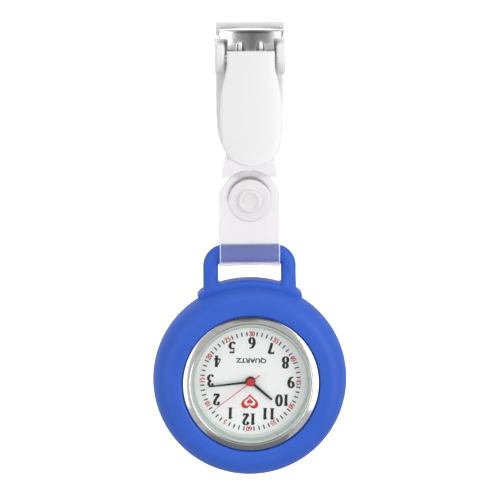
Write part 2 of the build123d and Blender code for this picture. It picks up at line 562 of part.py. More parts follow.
def motion_work():
    """Cannon pinion, minute wheel and hour wheel, twelve to one, and the wheel that sets the hands."""
    cannon_module = 2 * MINUTE_DISTANCE / sum(CANNON_TO_MINUTE)
    hour_module = 2 * MINUTE_DISTANCE / sum(MINUTE_TO_HOUR)
    cannon = toothed(CANNON_TO_MINUTE[0], cannon_module, 5.72, 6.05, 0.31, 0) + ring(0.31, 0.45, 5.72, 7.82)
    keep("cannon_pinion", head(cannon))
    phase = meshed_phase(direction_between(CENTRE, MINUTE), 0, *CANNON_TO_MINUTE)
    minute = toothed(CANNON_TO_MINUTE[1], cannon_module, 5.75, 5.95, 0, phase, *MINUTE)
    minute += toothed(MINUTE_TO_HOUR[0], hour_module, 5.94, 6.4, 0, 0, *MINUTE)
    minute += disc(0.14, 5.2, 6.4, *MINUTE)
    keep("minute_wheel", head(minute))
    phase_hour = meshed_phase(direction_between(MINUTE, CENTRE), 0, *MINUTE_TO_HOUR)
    hour = toothed(MINUTE_TO_HOUR[1], hour_module, 6.15, 6.35, 0.5, phase_hour) + ring(0.5, 0.7, 6.15, 7.46)
    keep("hour_wheel", head(hour))
    phase_set = meshed_phase(direction_between(MINUTE, SETTING), phase, CANNON_TO_MINUTE[1], SETTING_TEETH)
    setting = toothed(SETTING_TEETH, cannon_module, 5.75, 5.95, 0, phase_set, *SETTING)
    setting += disc(0.14, 5.2, 6.1, *SETTING)
    keep("setting_wheel", head(setting))


def plates():
    """Main plate, train bridge, its screws, and the plastic ring that centres the movement in the case."""
    plate_r = 9.8
    plate = disc(plate_r, 4.9, 5.7) + ring(9.0, plate_r, 2.1, 4.95)
    for spot, radius in ((CENTRE, 0.35), (FIFTH, 0.14), (ROTOR, 0.14), (THIRD, 0.14), (MINUTE, 0.16), (SETTING, 0.16)):
        plate -= disc(radius, 4.0, 5.75, *spot)
    plate -= Pos(-6.5, 0, STEM_W) * Box(8.2, 0.9, 1.2)
    plate -= Pos(-2.9, 0, STEM_W) * Box(1.7, 1.7, 1.6)
    plate -= Pos(-9.4, 0, STEM_W) * Rot(0, 90, 0) * Cylinder(0.5, 3)
    for angle in (20, 200):
        plate -= disc(0.4, 4.8, 5.75, *dial_point(angle, 8.4))
    for spot in PILLARS:
        plate += disc(0.75, 2.95, 4.95, *spot)
        plate -= disc(0.32, 2.4, 4.9, *spot)
    keep("main_plate", head(plate))
    bridge = Polyline((-6.6, 5.4), (6.9, 4.6), (6.6, 0.6), (0.8, -1.9), (-5.4, -5.2), (-6.0, 0), close=True)
    bridge = Pos(0, 0, 2.5) * extrude(make_face(bridge), 0.4)
    for spot in (CENTRE, FIFTH, ROTOR, THIRD):
        bridge -= disc(0.14, 2.4, 3.0, *spot)
    for spot in PILLARS:
        bridge -= disc(0.32, 2.4, 3.0, *spot)
    bridge -= disc(BATTERY_R + 0.3, 2.4, 3.0, *BATTERY)
    keep("train_bridge", head(bridge))
    screws = []
    for spot in PILLARS:
        screw = disc(0.6, 2.1, 2.48, *spot) + disc(0.28, 2.4, 4.4, *spot)
        screws.append(head(screw - Pos(spot[0], spot[1], 2.1) * Box(1.4, 0.16, 0.3)))
    keep("bridge_screws", Compound(children=screws))
    holder = ring(9.85, 12.35, 3.85, 6.55) + ring(9.85, 11.8, 2.2, 3.86)
    holder -= Pos(-11, 0, STEM_W) * Rot(0, 90, 0) * Cylinder(0.95, 4)
    keep("movement_holder", head(holder))


def electrics():
    """Cell and its clamp, circuit board with chip and oscillator can, coil, core and stator."""
    cell = disc(BATTERY_R, 2.25, 4.0, *BATTERY) + disc(BATTERY_R - 0.45, 3.99, 4.8, *BATTERY)
    keep("battery", head(cell))
    clamp = ring(2.0, 3.2, 1.98, 2.2, *BATTERY) - slab(1.6, 2.4, 1.5, 3.0, BATTERY[0], BATTERY[1] - 2.8)
    clamp += slab(1.1, 2.6, 1.98, 2.2, BATTERY[0] - 1.0, BATTERY[1] + 4.0)
    keep("battery_clamp", head(clamp))
    board = Polyline((-8.1, -0.9), (-5.6, -0.9), (-5.6, -3.0), (-2.0, -4.3), (-1.6, -8.1), (-4.6, -6.9), close=True)
    board = Pos(0, 0, 4.25) * extrude(make_face(board), 0.4) - disc(0.8, 4.0, 5.0, *PILLARS[2])
    keep("circuit_board", head(board))
    keep("control_chip", head(slab(1.7, 1.7, 3.5, 4.22, -3.4, -5.9)))
    can = Pos(-6.5, -2.6, 3.3) * Rot(90, 0, -35) * Cylinder(0.75, 3.2)
    keep("oscillator_can", head(can))
    coil_v, coil_w, coil_half = 7.0, 3.7, 2.9
    keep("coil_winding", head(
        Pos(0, coil_v, coil_w) * Rot(0, 90, 0) * (Cylinder(1.05, 2 * coil_half) - Cylinder(0.52, 8))
    ))
    core = Pos(0, coil_v, coil_w) * Rot(0, 90, 0) * Cylinder(0.5, 2 * coil_half + 1.2)
    flanges = Cylinder(1.15, 0.25) - Cylinder(0.52, 3)
    bobbin = Pos(-coil_half - 0.15, coil_v, coil_w) * Rot(0, 90, 0) * flanges
    bobbin_right = Pos(coil_half + 0.15, coil_v, coil_w) * Rot(0, 90, 0) * flanges
    keep("coil_bobbin", Compound(children=[head(bobbin), head(bobbin_right)]))
    for side in (-1, 1):
        core += slab(1.6, 1.4, 3.4, 4.0, side * (coil_half + 1.2), coil_v - 0.3)
    keep("coil_core", head(core))
    half = coil_half + 1.2
    stator = Polyline(
        (-half - 0.7, 5.9), (-half - 0.7, 2.2), (-3.9, -0.3), (-1.95, -0.15), (-1.95, 2.4), (-2.4, 3.6), (half, 4.4),
        (half + 0.6, 5.9), (half - 0.8, 5.9), (half - 0.9, 5.2), (-2.4, 4.7), (-3.3, 4.9), (-3.5, 5.9), close=True,
    )
    stator = Pos(0, 0, 3.5) * extrude(make_face(stator), 0.35)
    stator -= disc(1.05, 3.0, 5.0, *ROTOR) + disc(0.4, 3.0, 5.0, *FIFTH) + disc(1.6, 3.0, 5.0)
    stator -= disc(0.9, 3.0, 5.0, -5.6, 4.6)
    keep("stator", head(stator))


def write():
    """Builds every node and writes one STEP file for each."""
    keep("front_lever", front_lever())
    keep("rear_lever", rear_lever())
    keep("front_jaw", front_jaw())
    keep("rear_jaw", rear_jaw())
    keep("hinge_pin", hinge_pin())
    keep("torsion_spring", torsion_spring())
    keep("strap_back_run", strap_back_run())
    keep("strap_front_leaf", strap_front_leaf())
    press_stud()
    keep("silicone_sleeve", sleeve())
    case_parts()
    dial()
    hands()
    crown_parts()
    train()
    motion_work()
    plates()
    electrics()
    os.makedirs("parts", exist_ok=True)
    for name, shape in made.items():
        export_step(shape, f"parts/{name}.step")
    print(len(made), "nodes")


write()
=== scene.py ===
# Fob watch: the finished looks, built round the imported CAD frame.
import math

import bmesh
import bpy
import numpy as np
from mathutils import Matrix, Vector


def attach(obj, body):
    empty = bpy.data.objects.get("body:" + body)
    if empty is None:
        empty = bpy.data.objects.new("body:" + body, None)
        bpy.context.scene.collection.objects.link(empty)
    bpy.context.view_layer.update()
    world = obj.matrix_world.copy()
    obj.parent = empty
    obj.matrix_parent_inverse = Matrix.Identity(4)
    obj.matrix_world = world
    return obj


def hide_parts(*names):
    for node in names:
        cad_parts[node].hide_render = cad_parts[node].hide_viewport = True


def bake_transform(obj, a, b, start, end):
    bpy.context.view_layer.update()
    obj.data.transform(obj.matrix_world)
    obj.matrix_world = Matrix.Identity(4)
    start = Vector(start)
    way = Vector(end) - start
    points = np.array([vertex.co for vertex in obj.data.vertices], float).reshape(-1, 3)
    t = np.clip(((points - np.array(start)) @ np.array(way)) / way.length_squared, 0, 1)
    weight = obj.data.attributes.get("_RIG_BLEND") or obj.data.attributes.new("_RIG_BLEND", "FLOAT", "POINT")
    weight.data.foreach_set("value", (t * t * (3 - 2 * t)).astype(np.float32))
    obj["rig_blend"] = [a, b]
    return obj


mm = 0.001
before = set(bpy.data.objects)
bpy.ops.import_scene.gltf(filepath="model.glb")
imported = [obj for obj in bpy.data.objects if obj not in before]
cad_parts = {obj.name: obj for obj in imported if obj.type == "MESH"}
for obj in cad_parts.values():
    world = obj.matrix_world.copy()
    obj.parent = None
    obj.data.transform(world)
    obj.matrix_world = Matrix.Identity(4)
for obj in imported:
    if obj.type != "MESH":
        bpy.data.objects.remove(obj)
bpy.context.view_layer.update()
print("frame loaded:", len(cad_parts), "nodes")

# Places shared by several pieces, in millimetres. The jaws pinch at zero and everything hangs below.
layout = {
    "hangY": 2.6,        # plane that the strap hangs in
    "clipBarZ": -24.3,   # bar at the clip's foot
    "snapZ": -36.1,      # press stud
    "loopBarZ": -47.4,   # bar of the sleeve's loop
    "headZ": -73.05,     # middle of the watch
    "backY": 4.8,        # back plane of the sleeve
    "dialFrontY": -2.2,  # printed face of the dial
}


# ---- shaders ----
class Wire:
    # One output of a shader node. Sums and products of wires add Math nodes.
    def __init__(self, finish, socket):
        self.finish, self.socket = finish, socket

    def __add__(self, other):
        return self.finish.maths("ADD", self, other)

    def __sub__(self, other):
        return self.finish.maths("SUBTRACT", self, other)

    def __rsub__(self, other):
        return self.finish.maths("SUBTRACT", other, self)

    def __mul__(self, other):
        return self.finish.maths("MULTIPLY", self, other)

    __radd__ = __add__
    __rmul__ = __mul__


class Finish:
    # A material with one Principled shader, the values fixed on it, and a few ways to vary it.
    def __init__(self, name, fixed):
        self.material = bpy.data.materials.new(name)
        self.material.use_nodes = True
        self.tree = self.material.node_tree
        self.shader = self.tree.nodes["Principled BSDF"]
        for label, value in fixed.items():
            self.shader.inputs[label].default_value = value

    def join(self, value, socket):
        if isinstance(value, Wire):
            self.tree.links.new(value.socket, socket)
        else:
            socket.default_value = value

    def node(self, kind, settings, inputs, output=0):
        made = self.tree.nodes.new(kind)
        for key, value in settings.items():
            if key == "stops":
                for stop, (place, colour) in zip(made.color_ramp.elements, value):
                    stop.position, stop.color = place, colour
            else:
                setattr(made, key, value)
        for key, value in inputs.items():
            self.join(value, made.inputs[key])
        return Wire(self, made.outputs[output])

    def maths(self, operation, a, b):
        return self.node("ShaderNodeMath", {"operation": operation}, {0: a, 1: b})

    def feed(self, label, value):
        self.join(value, self.shader.inputs[label])

    def place(self, stretch=(1, 1, 1), shift=(0, 0, 0)):
        spot = self.node("ShaderNodeTexCoord", {}, {}, "Object")
        return self.node("ShaderNodeMapping", {}, {"Vector": spot, "Location": shift, "Scale": stretch}, "Vector")

    def noise(self, size, detail=3.0, rough=0.55, stretch=(1, 1, 1)):
        # Cloudy noise whose patches are about size millimetres across.
        inputs = {"Vector": self.place(stretch), "Scale": 1 / (size * mm), "Detail": detail, "Roughness": rough}
        return self.node("ShaderNodeTexNoise", {}, inputs, "Fac")

    def tint(self, factor, a, b):
        return self.node("ShaderNodeMix", {"data_type": "RGBA"}, {0: factor, 6: a, 7: b}, 2)

    def spread(self, value, low, high):
        # Stretches a 0 to 1 value over low to high.
        return value * (high - low) + low

    def sharpen(self, value, low, high):
        # 0 below low, 1 above high.
        inputs = {"Value": value, "From Min": low, "From Max": high}
        return self.node("ShaderNodeMapRange", {"clamp": True}, inputs, "Result")

    def relief(self, height, depth):
        # Raises the surface by depth millimetres where height is 1.
        inputs = {"Height": height, "Strength": 1.0, "Distance": depth * mm}
        self.feed("Normal", self.node("ShaderNodeBump", {}, inputs, "Normal"))


def whitePlastic():
    look = {"low": (0.825, 0.825, 0.83, 1), "high": (0.87, 0.87, 0.875, 1), "grain": 0.25, "grainDepth": 0.004, "patch": 6}
    f = Finish("white moulded plastic", {"IOR": 1.48, "Coat Weight": 0.15, "Coat Roughness": 0.2})
    f.feed("Base Color", f.tint(f.noise(look["patch"]), look["low"], look["high"]))
    f.feed("Roughness", f.spread(f.noise(3, 4), 0.26, 0.40))
    f.relief(f.noise(look["grain"], 2), look["grainDepth"])
    return f.material


def platedSteel(name, low, high, roughLow, roughHigh, drawn=(0.12, 1, 1), metal=1.0):
    # Pressed and plated sheet: faint draw lines along one axis, and patches of duller plating.
    f = Finish(name, {"Metallic": metal})
    lines = f.noise(0.12, 3, 0.6, drawn)
    f.feed("Base Color", f.tint(f.noise(2.5), low, high))
    f.feed("Roughness", f.spread(lines, roughLow, roughHigh))
    f.relief(lines, 0.003)
    return f.material


def polishedBezel():
    # Turned ring: fine lines that follow the circle, and light wear.
    look = {"pale": (0.74, 0.735, 0.73, 1), "deep": (0.60, 0.595, 0.59, 1)}
    f = Finish("polished bezel", {"Metallic": 1.0})
    spot = f.place((1, 0, 1), (0, 0, -layout["headZ"] * mm))
    radius = f.node("ShaderNodeVectorMath", {"operation": "LENGTH"}, {0: spot}, "Value")
    lines = f.node("ShaderNodeTexNoise", {"noise_dimensions": "1D"}, {"W": radius, "Scale": 9000, "Detail": 2}, "Fac")
    wear = f.sharpen(f.noise(1.6, 5), 0.52, 0.72)
    f.feed("Base Color", f.tint(wear, look["pale"], look["deep"]))
    f.feed("Roughness", f.spread(wear, 0.12, 0.22))
    f.relief(lines, 0.0015)
    return f.material


def blueSilicone():
    look = {"deep": (0.024, 0.102, 0.57, 1), "pale": (0.036, 0.135, 0.655, 1), "grain": 0.22, "grainDepth": 0.006}
    f = Finish("blue silicone", {"IOR": 1.41, "Sheen Weight": 0.04, "Sheen Roughness": 0.4, "Sheen Tint": (0.7, 0.75, 1, 1)})
    f.feed("Base Color", f.tint(f.noise(7, 4), look["deep"], look["pale"]))
    f.feed("Roughness", f.spread(f.noise(4, 5), 0.42, 0.58))
    f.relief(f.noise(look["grain"], 3), look["grainDepth"])
    return f.material


def frostedVinyl():
    look = {"clear": (0.85, 0.835, 0.845, 1), "milk": (0.80, 0.785, 0.80, 1), "mottle": 0.9, "depth": 0.02}
    f = Finish("frosted vinyl", {"Transmission Weight": 0.92, "IOR": 1.25, "Specular IOR Level": 0.4})
    f.feed("Base Color", f.tint(f.noise(look["mottle"], 4), look["clear"], look["milk"]))
    f.feed("Roughness", f.spread(f.noise(0.7, 4), 0.28, 0.46))
    f.relief(f.noise(0.16, 2) + 0.8 * f.noise(look["mottle"], 3), look["depth"])
    return f.material


def cutVinyl():
    # The strip's cut edge and the welded rim scatter more light than its faces.
    f = Finish("cut vinyl edge", {"Transmission Weight": 0.25, "IOR": 1.3, "Coat Weight": 0.2})
    f.feed("Base Color", f.tint(f.noise(0.8), grey(0.97), grey(0.92)))
    f.feed("Roughness", f.spread(f.noise(0.5, 4), 0.25, 0.4))
    f.relief(f.noise(0.2, 2), 0.003)
    return f.material


def clearPlastic():
    fixed = {"Transmission Weight": 0.15, "IOR": 1.4, "Coat Weight": 0.35, "Coat Roughness": 0.12}
    f = Finish("pressed stud plastic", fixed)
    f.feed("Base Color", f.tint(f.noise(1.8), (0.985, 0.965, 0.975, 1), (0.95, 0.93, 0.94, 1)))
    f.feed("Roughness", f.spread(f.noise(1.2, 3), 0.28, 0.38))
    f.relief(f.noise(0.8, 2), 0.006)
    return f.material


def crystalGlass():
    # A clear pane: straight through, with the reflection that its angle gives.
    f = Finish("watch crystal", {})
    f.tree.nodes.remove(f.shader)
    clear = f.node("ShaderNodeBsdfTransparent", {}, {"Color": (0.992, 0.998, 0.995, 1)})
    gloss = f.node("ShaderNodeBsdfGlossy", {}, {"Roughness": 0.02})
    inner = f.node("ShaderNodeNewGeometry", {}, {}, "Backfacing")
    facing = f.node("ShaderNodeFresnel", {}, {"IOR": 1.45}) * (1 - inner)
    mixed = f.node("ShaderNodeMixShader", {}, {0: facing, 1: clear, 2: gloss})
    f.tree.links.new(mixed.socket, f.tree.nodes["Material Output"].inputs["Surface"])
    return f.material


def ringPlastic(name, low, high, rough):
    f = Finish(name, {"Coat Weight": 0.4, "Coat Roughness": 0.1})
    f.feed("Base Color", f.tint(f.noise(1.8), low, high))
    f.feed("Roughness", f.spread(f.noise(1), rough, rough + 0.1))
    return f.material


def paint(name, low, high, roughLow, roughHigh, grain=0.12, depth=0.002, coat=0.0):
    # Ink and lacquer: a slightly uneven colour over a fine pebble.
    f = Finish(name, {"Coat Weight": coat, "Coat Roughness": 0.1})
    f.feed("Base Color", f.tint(f.noise(0.9), low, high))
    f.feed("Roughness", f.spread(f.noise(0.6), roughLow, roughHigh))
    f.relief(f.noise(grain, 2), depth)
    return f.material


def grey(value):
    return (value, value, value, 1)


finishes = {
    "whitePlastic": whitePlastic(),
    "jawSteel": platedSteel("plated jaw steel", (0.70, 0.70, 0.71, 1), (0.80, 0.80, 0.81, 1), 0.16, 0.28),
    # Satin steel for the rear jaw and the slot tongues. The satin finish is real, but the near-white, part-diffuse
    # colour is painted reflection that makes them read bright.
    "satinSteelPaintedReflection": platedSteel("satin jaw steel, painted reflection", (0.93, 0.93, 0.935, 1), (0.97, 0.97, 0.975, 1), 0.36, 0.48, metal=0.35),
    "caseMetal": platedSteel("case alloy", (0.68, 0.685, 0.69, 1), (0.77, 0.775, 0.78, 1), 0.22, 0.34, (1, 1, 0.2)),
    "springSteel": platedSteel("spring steel", (0.38, 0.38, 0.40, 1), (0.50, 0.50, 0.52, 1), 0.28, 0.42),
    "bezel": polishedBezel(),
    "silicone": blueSilicone(),
    "vinyl": frostedVinyl(),
    "vinylEdge": cutVinyl(),
    "stud": clearPlastic(),
    "crystal": crystalGlass(),
    "gasket": ringPlastic("crystal gasket", (0.50, 0.57, 0.53, 1), (0.60, 0.67, 0.63, 1), 0.15),
    "flange": ringPlastic("dial flange", (0.66, 0.71, 0.69, 1), (0.76, 0.80, 0.78, 1), 0.3),
    "dial": paint("white dial lacquer", grey(0.95), grey(0.985), 0.42, 0.55),
    "blackInk": paint("black ink", grey(0.004), grey(0.010), 0.35, 0.5),
    "redInk": paint("red ink", (0.62, 0.010, 0.014, 1), (0.72, 0.018, 0.024, 1), 0.35, 0.5),
    "blackLacquer": paint("black hand lacquer", grey(0.006), grey(0.014), 0.16, 0.26, coat=0.5),
    "redLacquer": paint("red hand lacquer", (0.60, 0.008, 0.012, 1), (0.74, 0.02, 0.03, 1), 0.2, 0.3, coat=0.5),
    "rubber": paint("black rubber", grey(0.012), grey(0.022), 0.5, 0.65),
    "brass": platedSteel("movement brass", (0.62, 0.46, 0.20, 1), (0.72, 0.56, 0.28, 1), 0.22, 0.34),
    "nylon": paint("movement nylon", (0.70, 0.70, 0.64, 1), (0.78, 0.78, 0.72, 1), 0.45, 0.6),
    "copper": platedSteel("copper winding", (0.62, 0.24, 0.08, 1), (0.76, 0.34, 0.14, 1), 0.25, 0.4, (1, 1, 8)),
    "board": paint("circuit board", (0.02, 0.14, 0.05, 1), (0.03, 0.20, 0.08, 1), 0.3, 0.45, coat=0.4),
}
print("finishes mixed:", len(finishes))


# ---- shapes ----
def curveThrough(p0, p1, p2, p3, steps=24):
    # Cubic curve: each point is the cubic-weighted average of two ends and two handles.
    t = np.linspace(0, 1, steps)[:, None]
    p0, p1, p2, p3 = (np.array(p, float) for p in (p0, p1, p2, p3))
    return (1 - t) ** 3 * p0 + 3 * t * (1 - t) ** 2 * p1 + 3 * t * t * (1 - t) * p2 + t ** 3 * p3


def softCorners(points, radii, steps=6, closed=True):
    # Each corner becomes a short curve: the square-weighted average of the corner and the points a radius before and after.
    p = np.array(points, float)
    r = np.broadcast_to(np.array(radii, float), (len(p),))[:, None]
    before, after = np.roll(p, 1, 0) - p, np.roll(p, -1, 0) - p
    before /= np.linalg.norm(before, axis=1, keepdims=True)
    after /= np.linalg.norm(after, axis=1, keepdims=True)
    t = np.linspace(0, 1, steps)[None, :, None]
    start, end = (p + before * r)[:, None], (p + after * r)[:, None]
    curved = (1 - t) ** 2 * start + 2 * t * (1 - t) * p[:, None] + t * t * end
    if not closed:
        curved[0], curved[-1] = p[0], p[-1]
    return curved.reshape(-1, 2)


def gridFaces(rows, cols, wrapRows=False, wrapCols=False):
    # Every quad of a grid, joined round on itself where asked.
    r, c = np.meshgrid(np.arange(rows if wrapRows else rows - 1), np.arange(cols if wrapCols else cols - 1), indexing="ij")
    down, along = (r + 1) % rows, (c + 1) % cols
    return np.stack([r * cols + c, r * cols + along, down * cols + along, down * cols + c], -1).reshape(-1, 4)


def turned(outline, centreZ, count=160, closed=True):
    # An outline of (radius, y) turned about the line through x = 0, z = centreZ: x and z go round as cosine and sine.
    outline = np.array(outline, float)
    angle = np.linspace(0, 2 * math.pi, count, endpoint=False)
    x = outline[:, :1] * np.cos(angle)
    z = outline[:, :1] * np.sin(angle) + centreZ
    y = np.broadcast_to(outline[:, 1:], x.shape)
    return np.stack([x, y, z], -1).reshape(-1, 3), gridFaces(len(outline), count, closed, True)


def headOutline(points, radii=0.0, **options):
    # (radius, height above the sleeve's back plane) pairs as (radius, y), with soft corners.
    shaped = softCorners(points, radii, **options) if np.any(radii) else np.array(points, float)
    return np.stack([shaped[:, 0], layout["backY"] - shaped[:, 1]], -1)


def thickStrip(path, halfWidths, thickness, edge=0.18, around=32):
    # A strip carried along a (y, z) path. Its section is a flattened ring: across goes as a signed power of the cosine,
    # and through as a signed power of the sine, so that its edges are round.
    path = np.array(path, float)
    tangent = np.gradient(path, axis=0)
    tangent /= np.linalg.norm(tangent, axis=1, keepdims=True)
    normal = np.stack([-tangent[:, 1], tangent[:, 0]], -1)
    angle = np.linspace(0, 2 * math.pi, around, endpoint=False)
    c, s = np.cos(angle), np.sin(angle)
    across = np.sign(c) * np.abs(c) ** edge
    through = np.sign(s) * np.abs(s) ** 0.5 * thickness / 2
    x = np.array(halfWidths, float)[:, None] * across
    y = path[:, :1] + normal[:, :1] * through
    z = path[:, 1:] + normal[:, 1:] * through
    return np.stack([x, y, z], -1).reshape(-1, 3), gridFaces(len(path), around, False, True)


def bend(*points):
    # A smooth line through a few points: the usual cubic whose slope at each point is half the step between its neighbours.
    p = np.array(points, float)
    if len(p) == 2:
        return p[0] + np.linspace(0, 1, 4)[:, None] * (p[1] - p[0])
    before, after = np.vstack([2 * p[0] - p[1], p[:-1]]), np.vstack([p[1:], 2 * p[-1] - p[-2]])
    slope = (after - before) / 2
    t = np.linspace(0, 1, 9)[None, :, None]
    a, b, sa, sb = p[:-1, None], p[1:, None], slope[:-1, None], slope[1:, None]
    line = ((2 * t ** 3 - 3 * t ** 2 + 1) * a + (t ** 3 - 2 * t ** 2 + t) * sa
            + (3 * t ** 2 - 2 * t ** 3) * b + (t ** 3 - t ** 2) * sb).reshape(-1, 2)
    return line[np.r_[True, np.linalg.norm(np.diff(line, axis=0), axis=1) > 1e-9]]


def evenPath(points, spacing):
    # Walks a polyline in equal steps of about the given spacing.
    points = np.array(points, float)
    length = np.concatenate([[0], np.cumsum(np.linalg.norm(np.diff(points, axis=0), axis=1))])
    at = np.linspace(0, length[-1], max(3, int(length[-1] / spacing) + 1))
    return np.stack([np.interp(at, length, points[:, k]) for k in range(points.shape[1])], -1), at


def slab(outline, low, high, rounding, steps=4):
    # A flat (y, z) outline given thickness across x. Rings step inwards along the outline's normals as the edge rounds.
    outline = np.array(outline, float)
    along = np.roll(outline, -1, 0) - np.roll(outline, 1, 0)
    along /= np.linalg.norm(along, axis=1, keepdims=True)
    inward = np.stack([-along[:, 1], along[:, 0]], -1)
    t = np.linspace(0, math.pi / 2, steps)
    inset = np.concatenate([rounding * (1 - np.sin(t)), rounding * (1 - np.sin(t))[::-1]])
    x = np.concatenate([low + rounding * (1 - np.cos(t)), high - rounding * (1 - np.cos(t))[::-1]])
    flat = outline[None] + inward[None] * inset[:, None, None]
    points = np.concatenate([np.broadcast_to(x[:, None, None], flat.shape[:2] + (1,)), flat], -1)
    count = len(outline)
    faces = gridFaces(len(x), count, False, True).tolist()
    faces += [tuple(range(count)), tuple(range(count * (len(x) - 1), count * len(x)))]
    return points.reshape(-1, 3), faces


def makePiece(name, parts, finish, body, stands=(), sharp=40):
    # Joins (points, faces) parts given in millimetres into one object that rides on a CAD body.
    points, faces, start = [], [], 0
    for partPoints, partFaces in parts:
        points.append(np.array(partPoints, float) * mm)
        faces += [tuple(int(i) + start for i in face) for face in partFaces]
        start += len(partPoints)
    mesh = bpy.data.meshes.new(name)
    mesh.from_pydata(np.concatenate(points).tolist(), [], faces)
    shape = bmesh.new()
    shape.from_mesh(mesh)
    bmesh.ops.remove_doubles(shape, verts=shape.verts, dist=1e-7)
    bmesh.ops.dissolve_degenerate(shape, edges=shape.edges, dist=1e-8)
    bmesh.ops.recalc_face_normals(shape, faces=shape.faces)
    shape.to_mesh(mesh)
    shape.free()
    return addPiece(name, mesh, finish, body, stands, sharp)


def addPiece(name, mesh, finish, body, stands, sharp):
    mesh.materials.clear()
    mesh.materials.append(finishes[finish])
    mesh.polygons.foreach_set("use_smooth", np.ones(len(mesh.polygons), bool))
    mesh.set_sharp_from_angle(angle=math.radians(sharp))
    piece = bpy.data.objects.new(name, mesh)
    bpy.context.scene.collection.objects.link(piece)
    if body:
        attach(piece, body)
    if stands:
        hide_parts(*stands)
    return piece


def softened(node, finish, body, bevel=0.08, sharp=35):
    # A copy of a CAD node with its flat faces joined up and its edges rounded a little.
    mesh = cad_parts[node].data.copy()
    shape = bmesh.new()
    shape.from_mesh(mesh)
    bmesh.ops.remove_doubles(shape, verts=shape.verts, dist=2e-6)
    bmesh.ops.dissolve_limit(shape, angle_limit=math.radians(1), verts=shape.verts, edges=shape.edges)
    shape.to_mesh(mesh)
    shape.free()
    piece = addPiece(node + "Look", mesh, finish, body, (node,), sharp)
    edge = piece.modifiers.new("edges", "BEVEL")
    edge.width, edge.segments, edge.limit_method, edge.angle_limit = bevel * mm, 2, "ANGLE", math.radians(30)
    edge.harden_normals = False
    return piece


# ---- sleeve ----
sleeve = {
    "widest": (19.8, 3.6), "crest": (15.9, 10.22), "lip": 14.17, "backOpening": 12.5,
    "collarRadius": 20.75, "legOutside": 9.47, "legWidth": 3.07,
    "bar": 3.5, "corner": 4.4, "innerCorner": 0.7, "crownUp": 0.2,
    "low": 0.6, "loopHigh": 3.8, "collarHigh": 6.15, "roundEdge": 1.35,
}


def sleeveRing():
    wide, crest, lip, hole = sleeve["widest"], sleeve["crest"], sleeve["lip"], sleeve["backOpening"]
    outline = np.concatenate([
        [(hole + 0.4, 0), (16.6, 0)],
        curveThrough((16.6, 0), (18.6, 0), (wide[0], 1.3), wide, 20)[1:],
        curveThrough(wide, (wide[0], 7.7), (18.3, crest[1]), crest, 40)[1:],
        curveThrough(crest, (14.9, crest[1]), (lip, 10.15), (lip, 9.75), 16)[1:],
        [(lip, 8.25), (15.05, 8.25), (15.05, 2.35), (13.6, 1.1), (hole, 1.1), (hole, 0.4)],
    ])
    return turned(headOutline(outline), layout["headZ"], 256)


def quarter(u, v, radius, start, stop, steps=12):
    # Part of a circle in the dial's plane, angles in degrees from the right hand side.
    t = np.radians(np.linspace(start, stop, steps))
    return np.stack([u + radius * np.cos(t), v + radius * np.sin(t)], -1)


def between(a, b, steps):
    return np.array(a, float) + np.linspace(0, 1, steps)[:, None] * (np.array(b, float) - a)


def roundedBand(outer, inner, low, high, rounding, steps=7):
    # A closed band between two matched lines, from height low to height high. Its section is a rectangle with round
    # corners: across goes from the inner line to the outer, and through goes towards the viewer.
    middle, half = (outer + inner) / 2, np.linalg.norm(outer - inner, axis=1, keepdims=True) / 2
    across = (outer - inner) / (2 * half)
    t = np.radians(np.concatenate([np.linspace(q, q + 90, steps) for q in (0, 90, 180, 270)]))
    signC = np.repeat([1, -1, -1, 1], steps)
    signS = np.repeat([1, 1, -1, -1], steps)
    r = np.minimum(rounding, half * 0.98)
    s = signC * (half - r) + r * np.cos(t)
    h = (low + high) / 2 + signS * ((high - low) / 2 - rounding) + rounding * np.sin(t)
    u = middle[:, :1] + across[:, :1] * s
    v = middle[:, 1:] + across[:, 1:] * s
    y = np.broadcast_to(layout["backY"] - h, u.shape)
    return np.stack([u, y, v + layout["headZ"]], -1).reshape(-1, 3), gridFaces(len(outer), len(t), True, True)


def sleeveLoop():
    # Collar and bail as one band round the strap's opening, worked out for the right half and mirrored.
    out, leg, bar, radius = sleeve["legOutside"], sleeve["legWidth"], sleeve["bar"], sleeve["collarRadius"]
    barV = layout["loopBarZ"] - layout["headZ"]
    top, under, inside = barV + bar / 2 + sleeve["crownUp"], barV - bar / 2, out - leg
    corner, small = sleeve["corner"], sleeve["innerCorner"]
    foot = math.sqrt(radius ** 2 - out ** 2)
    floorV = math.sqrt(radius ** 2 - inside ** 2)
    shoulder = bend((out, foot + 0.5), (out + 0.09, foot + 0.14), (out + 0.38, foot - 0.13), (out + 0.78, foot - 0.38),
                    (out + 1.11, foot - 0.74), (out + 1.21, foot - 1.26), (out + 1.1, foot - 1.9))
    sill = np.radians(np.linspace(math.degrees(math.asin((inside - 0.4) / radius)), 0, 20))
    outer = [between((0, top), (out - corner, top), 6), quarter(out - corner, top - corner, corner, 90, 0, 18),
             between((out, top - corner), (out, foot + 0.5), 16), shoulder, between((out + 1.0, foot - 2.4), (0, 14.5), 20)]
    inner = [between((0, under), (inside - small, under), 6), quarter(inside - small, under - small, small, 90, 0, 18),
             between((inside, under - small), (inside, floorV + 0.35), 16),
             between((inside, floorV + 0.35), (inside - 0.4, floorV + 0.12), len(shoulder)),
             np.stack([radius * np.sin(sill), radius * np.cos(sill)], -1)]
    outer, inner = np.concatenate(outer), np.concatenate(inner)
    outer, inner = (np.concatenate([line, line[-2:0:-1] * (-1, 1)]) for line in (outer, inner))
    down = np.clip((foot + 3.6 - (outer[:, 1:] + inner[:, 1:]) / 2) / 3.4, 0, 1)  # from the leg to the collar
    high = sleeve["loopHigh"] + (sleeve["collarHigh"] - sleeve["loopHigh"]) * down * down * (3 - 2 * down)
    return roundedBand(outer, inner, sleeve["low"], high, sleeve["roundEdge"])


makePiece("sleeve", [sleeveRing(), sleeveLoop()], "silicone", "watch_head", ("silicone_sleeve",), 50)
print("sleeve shaped")

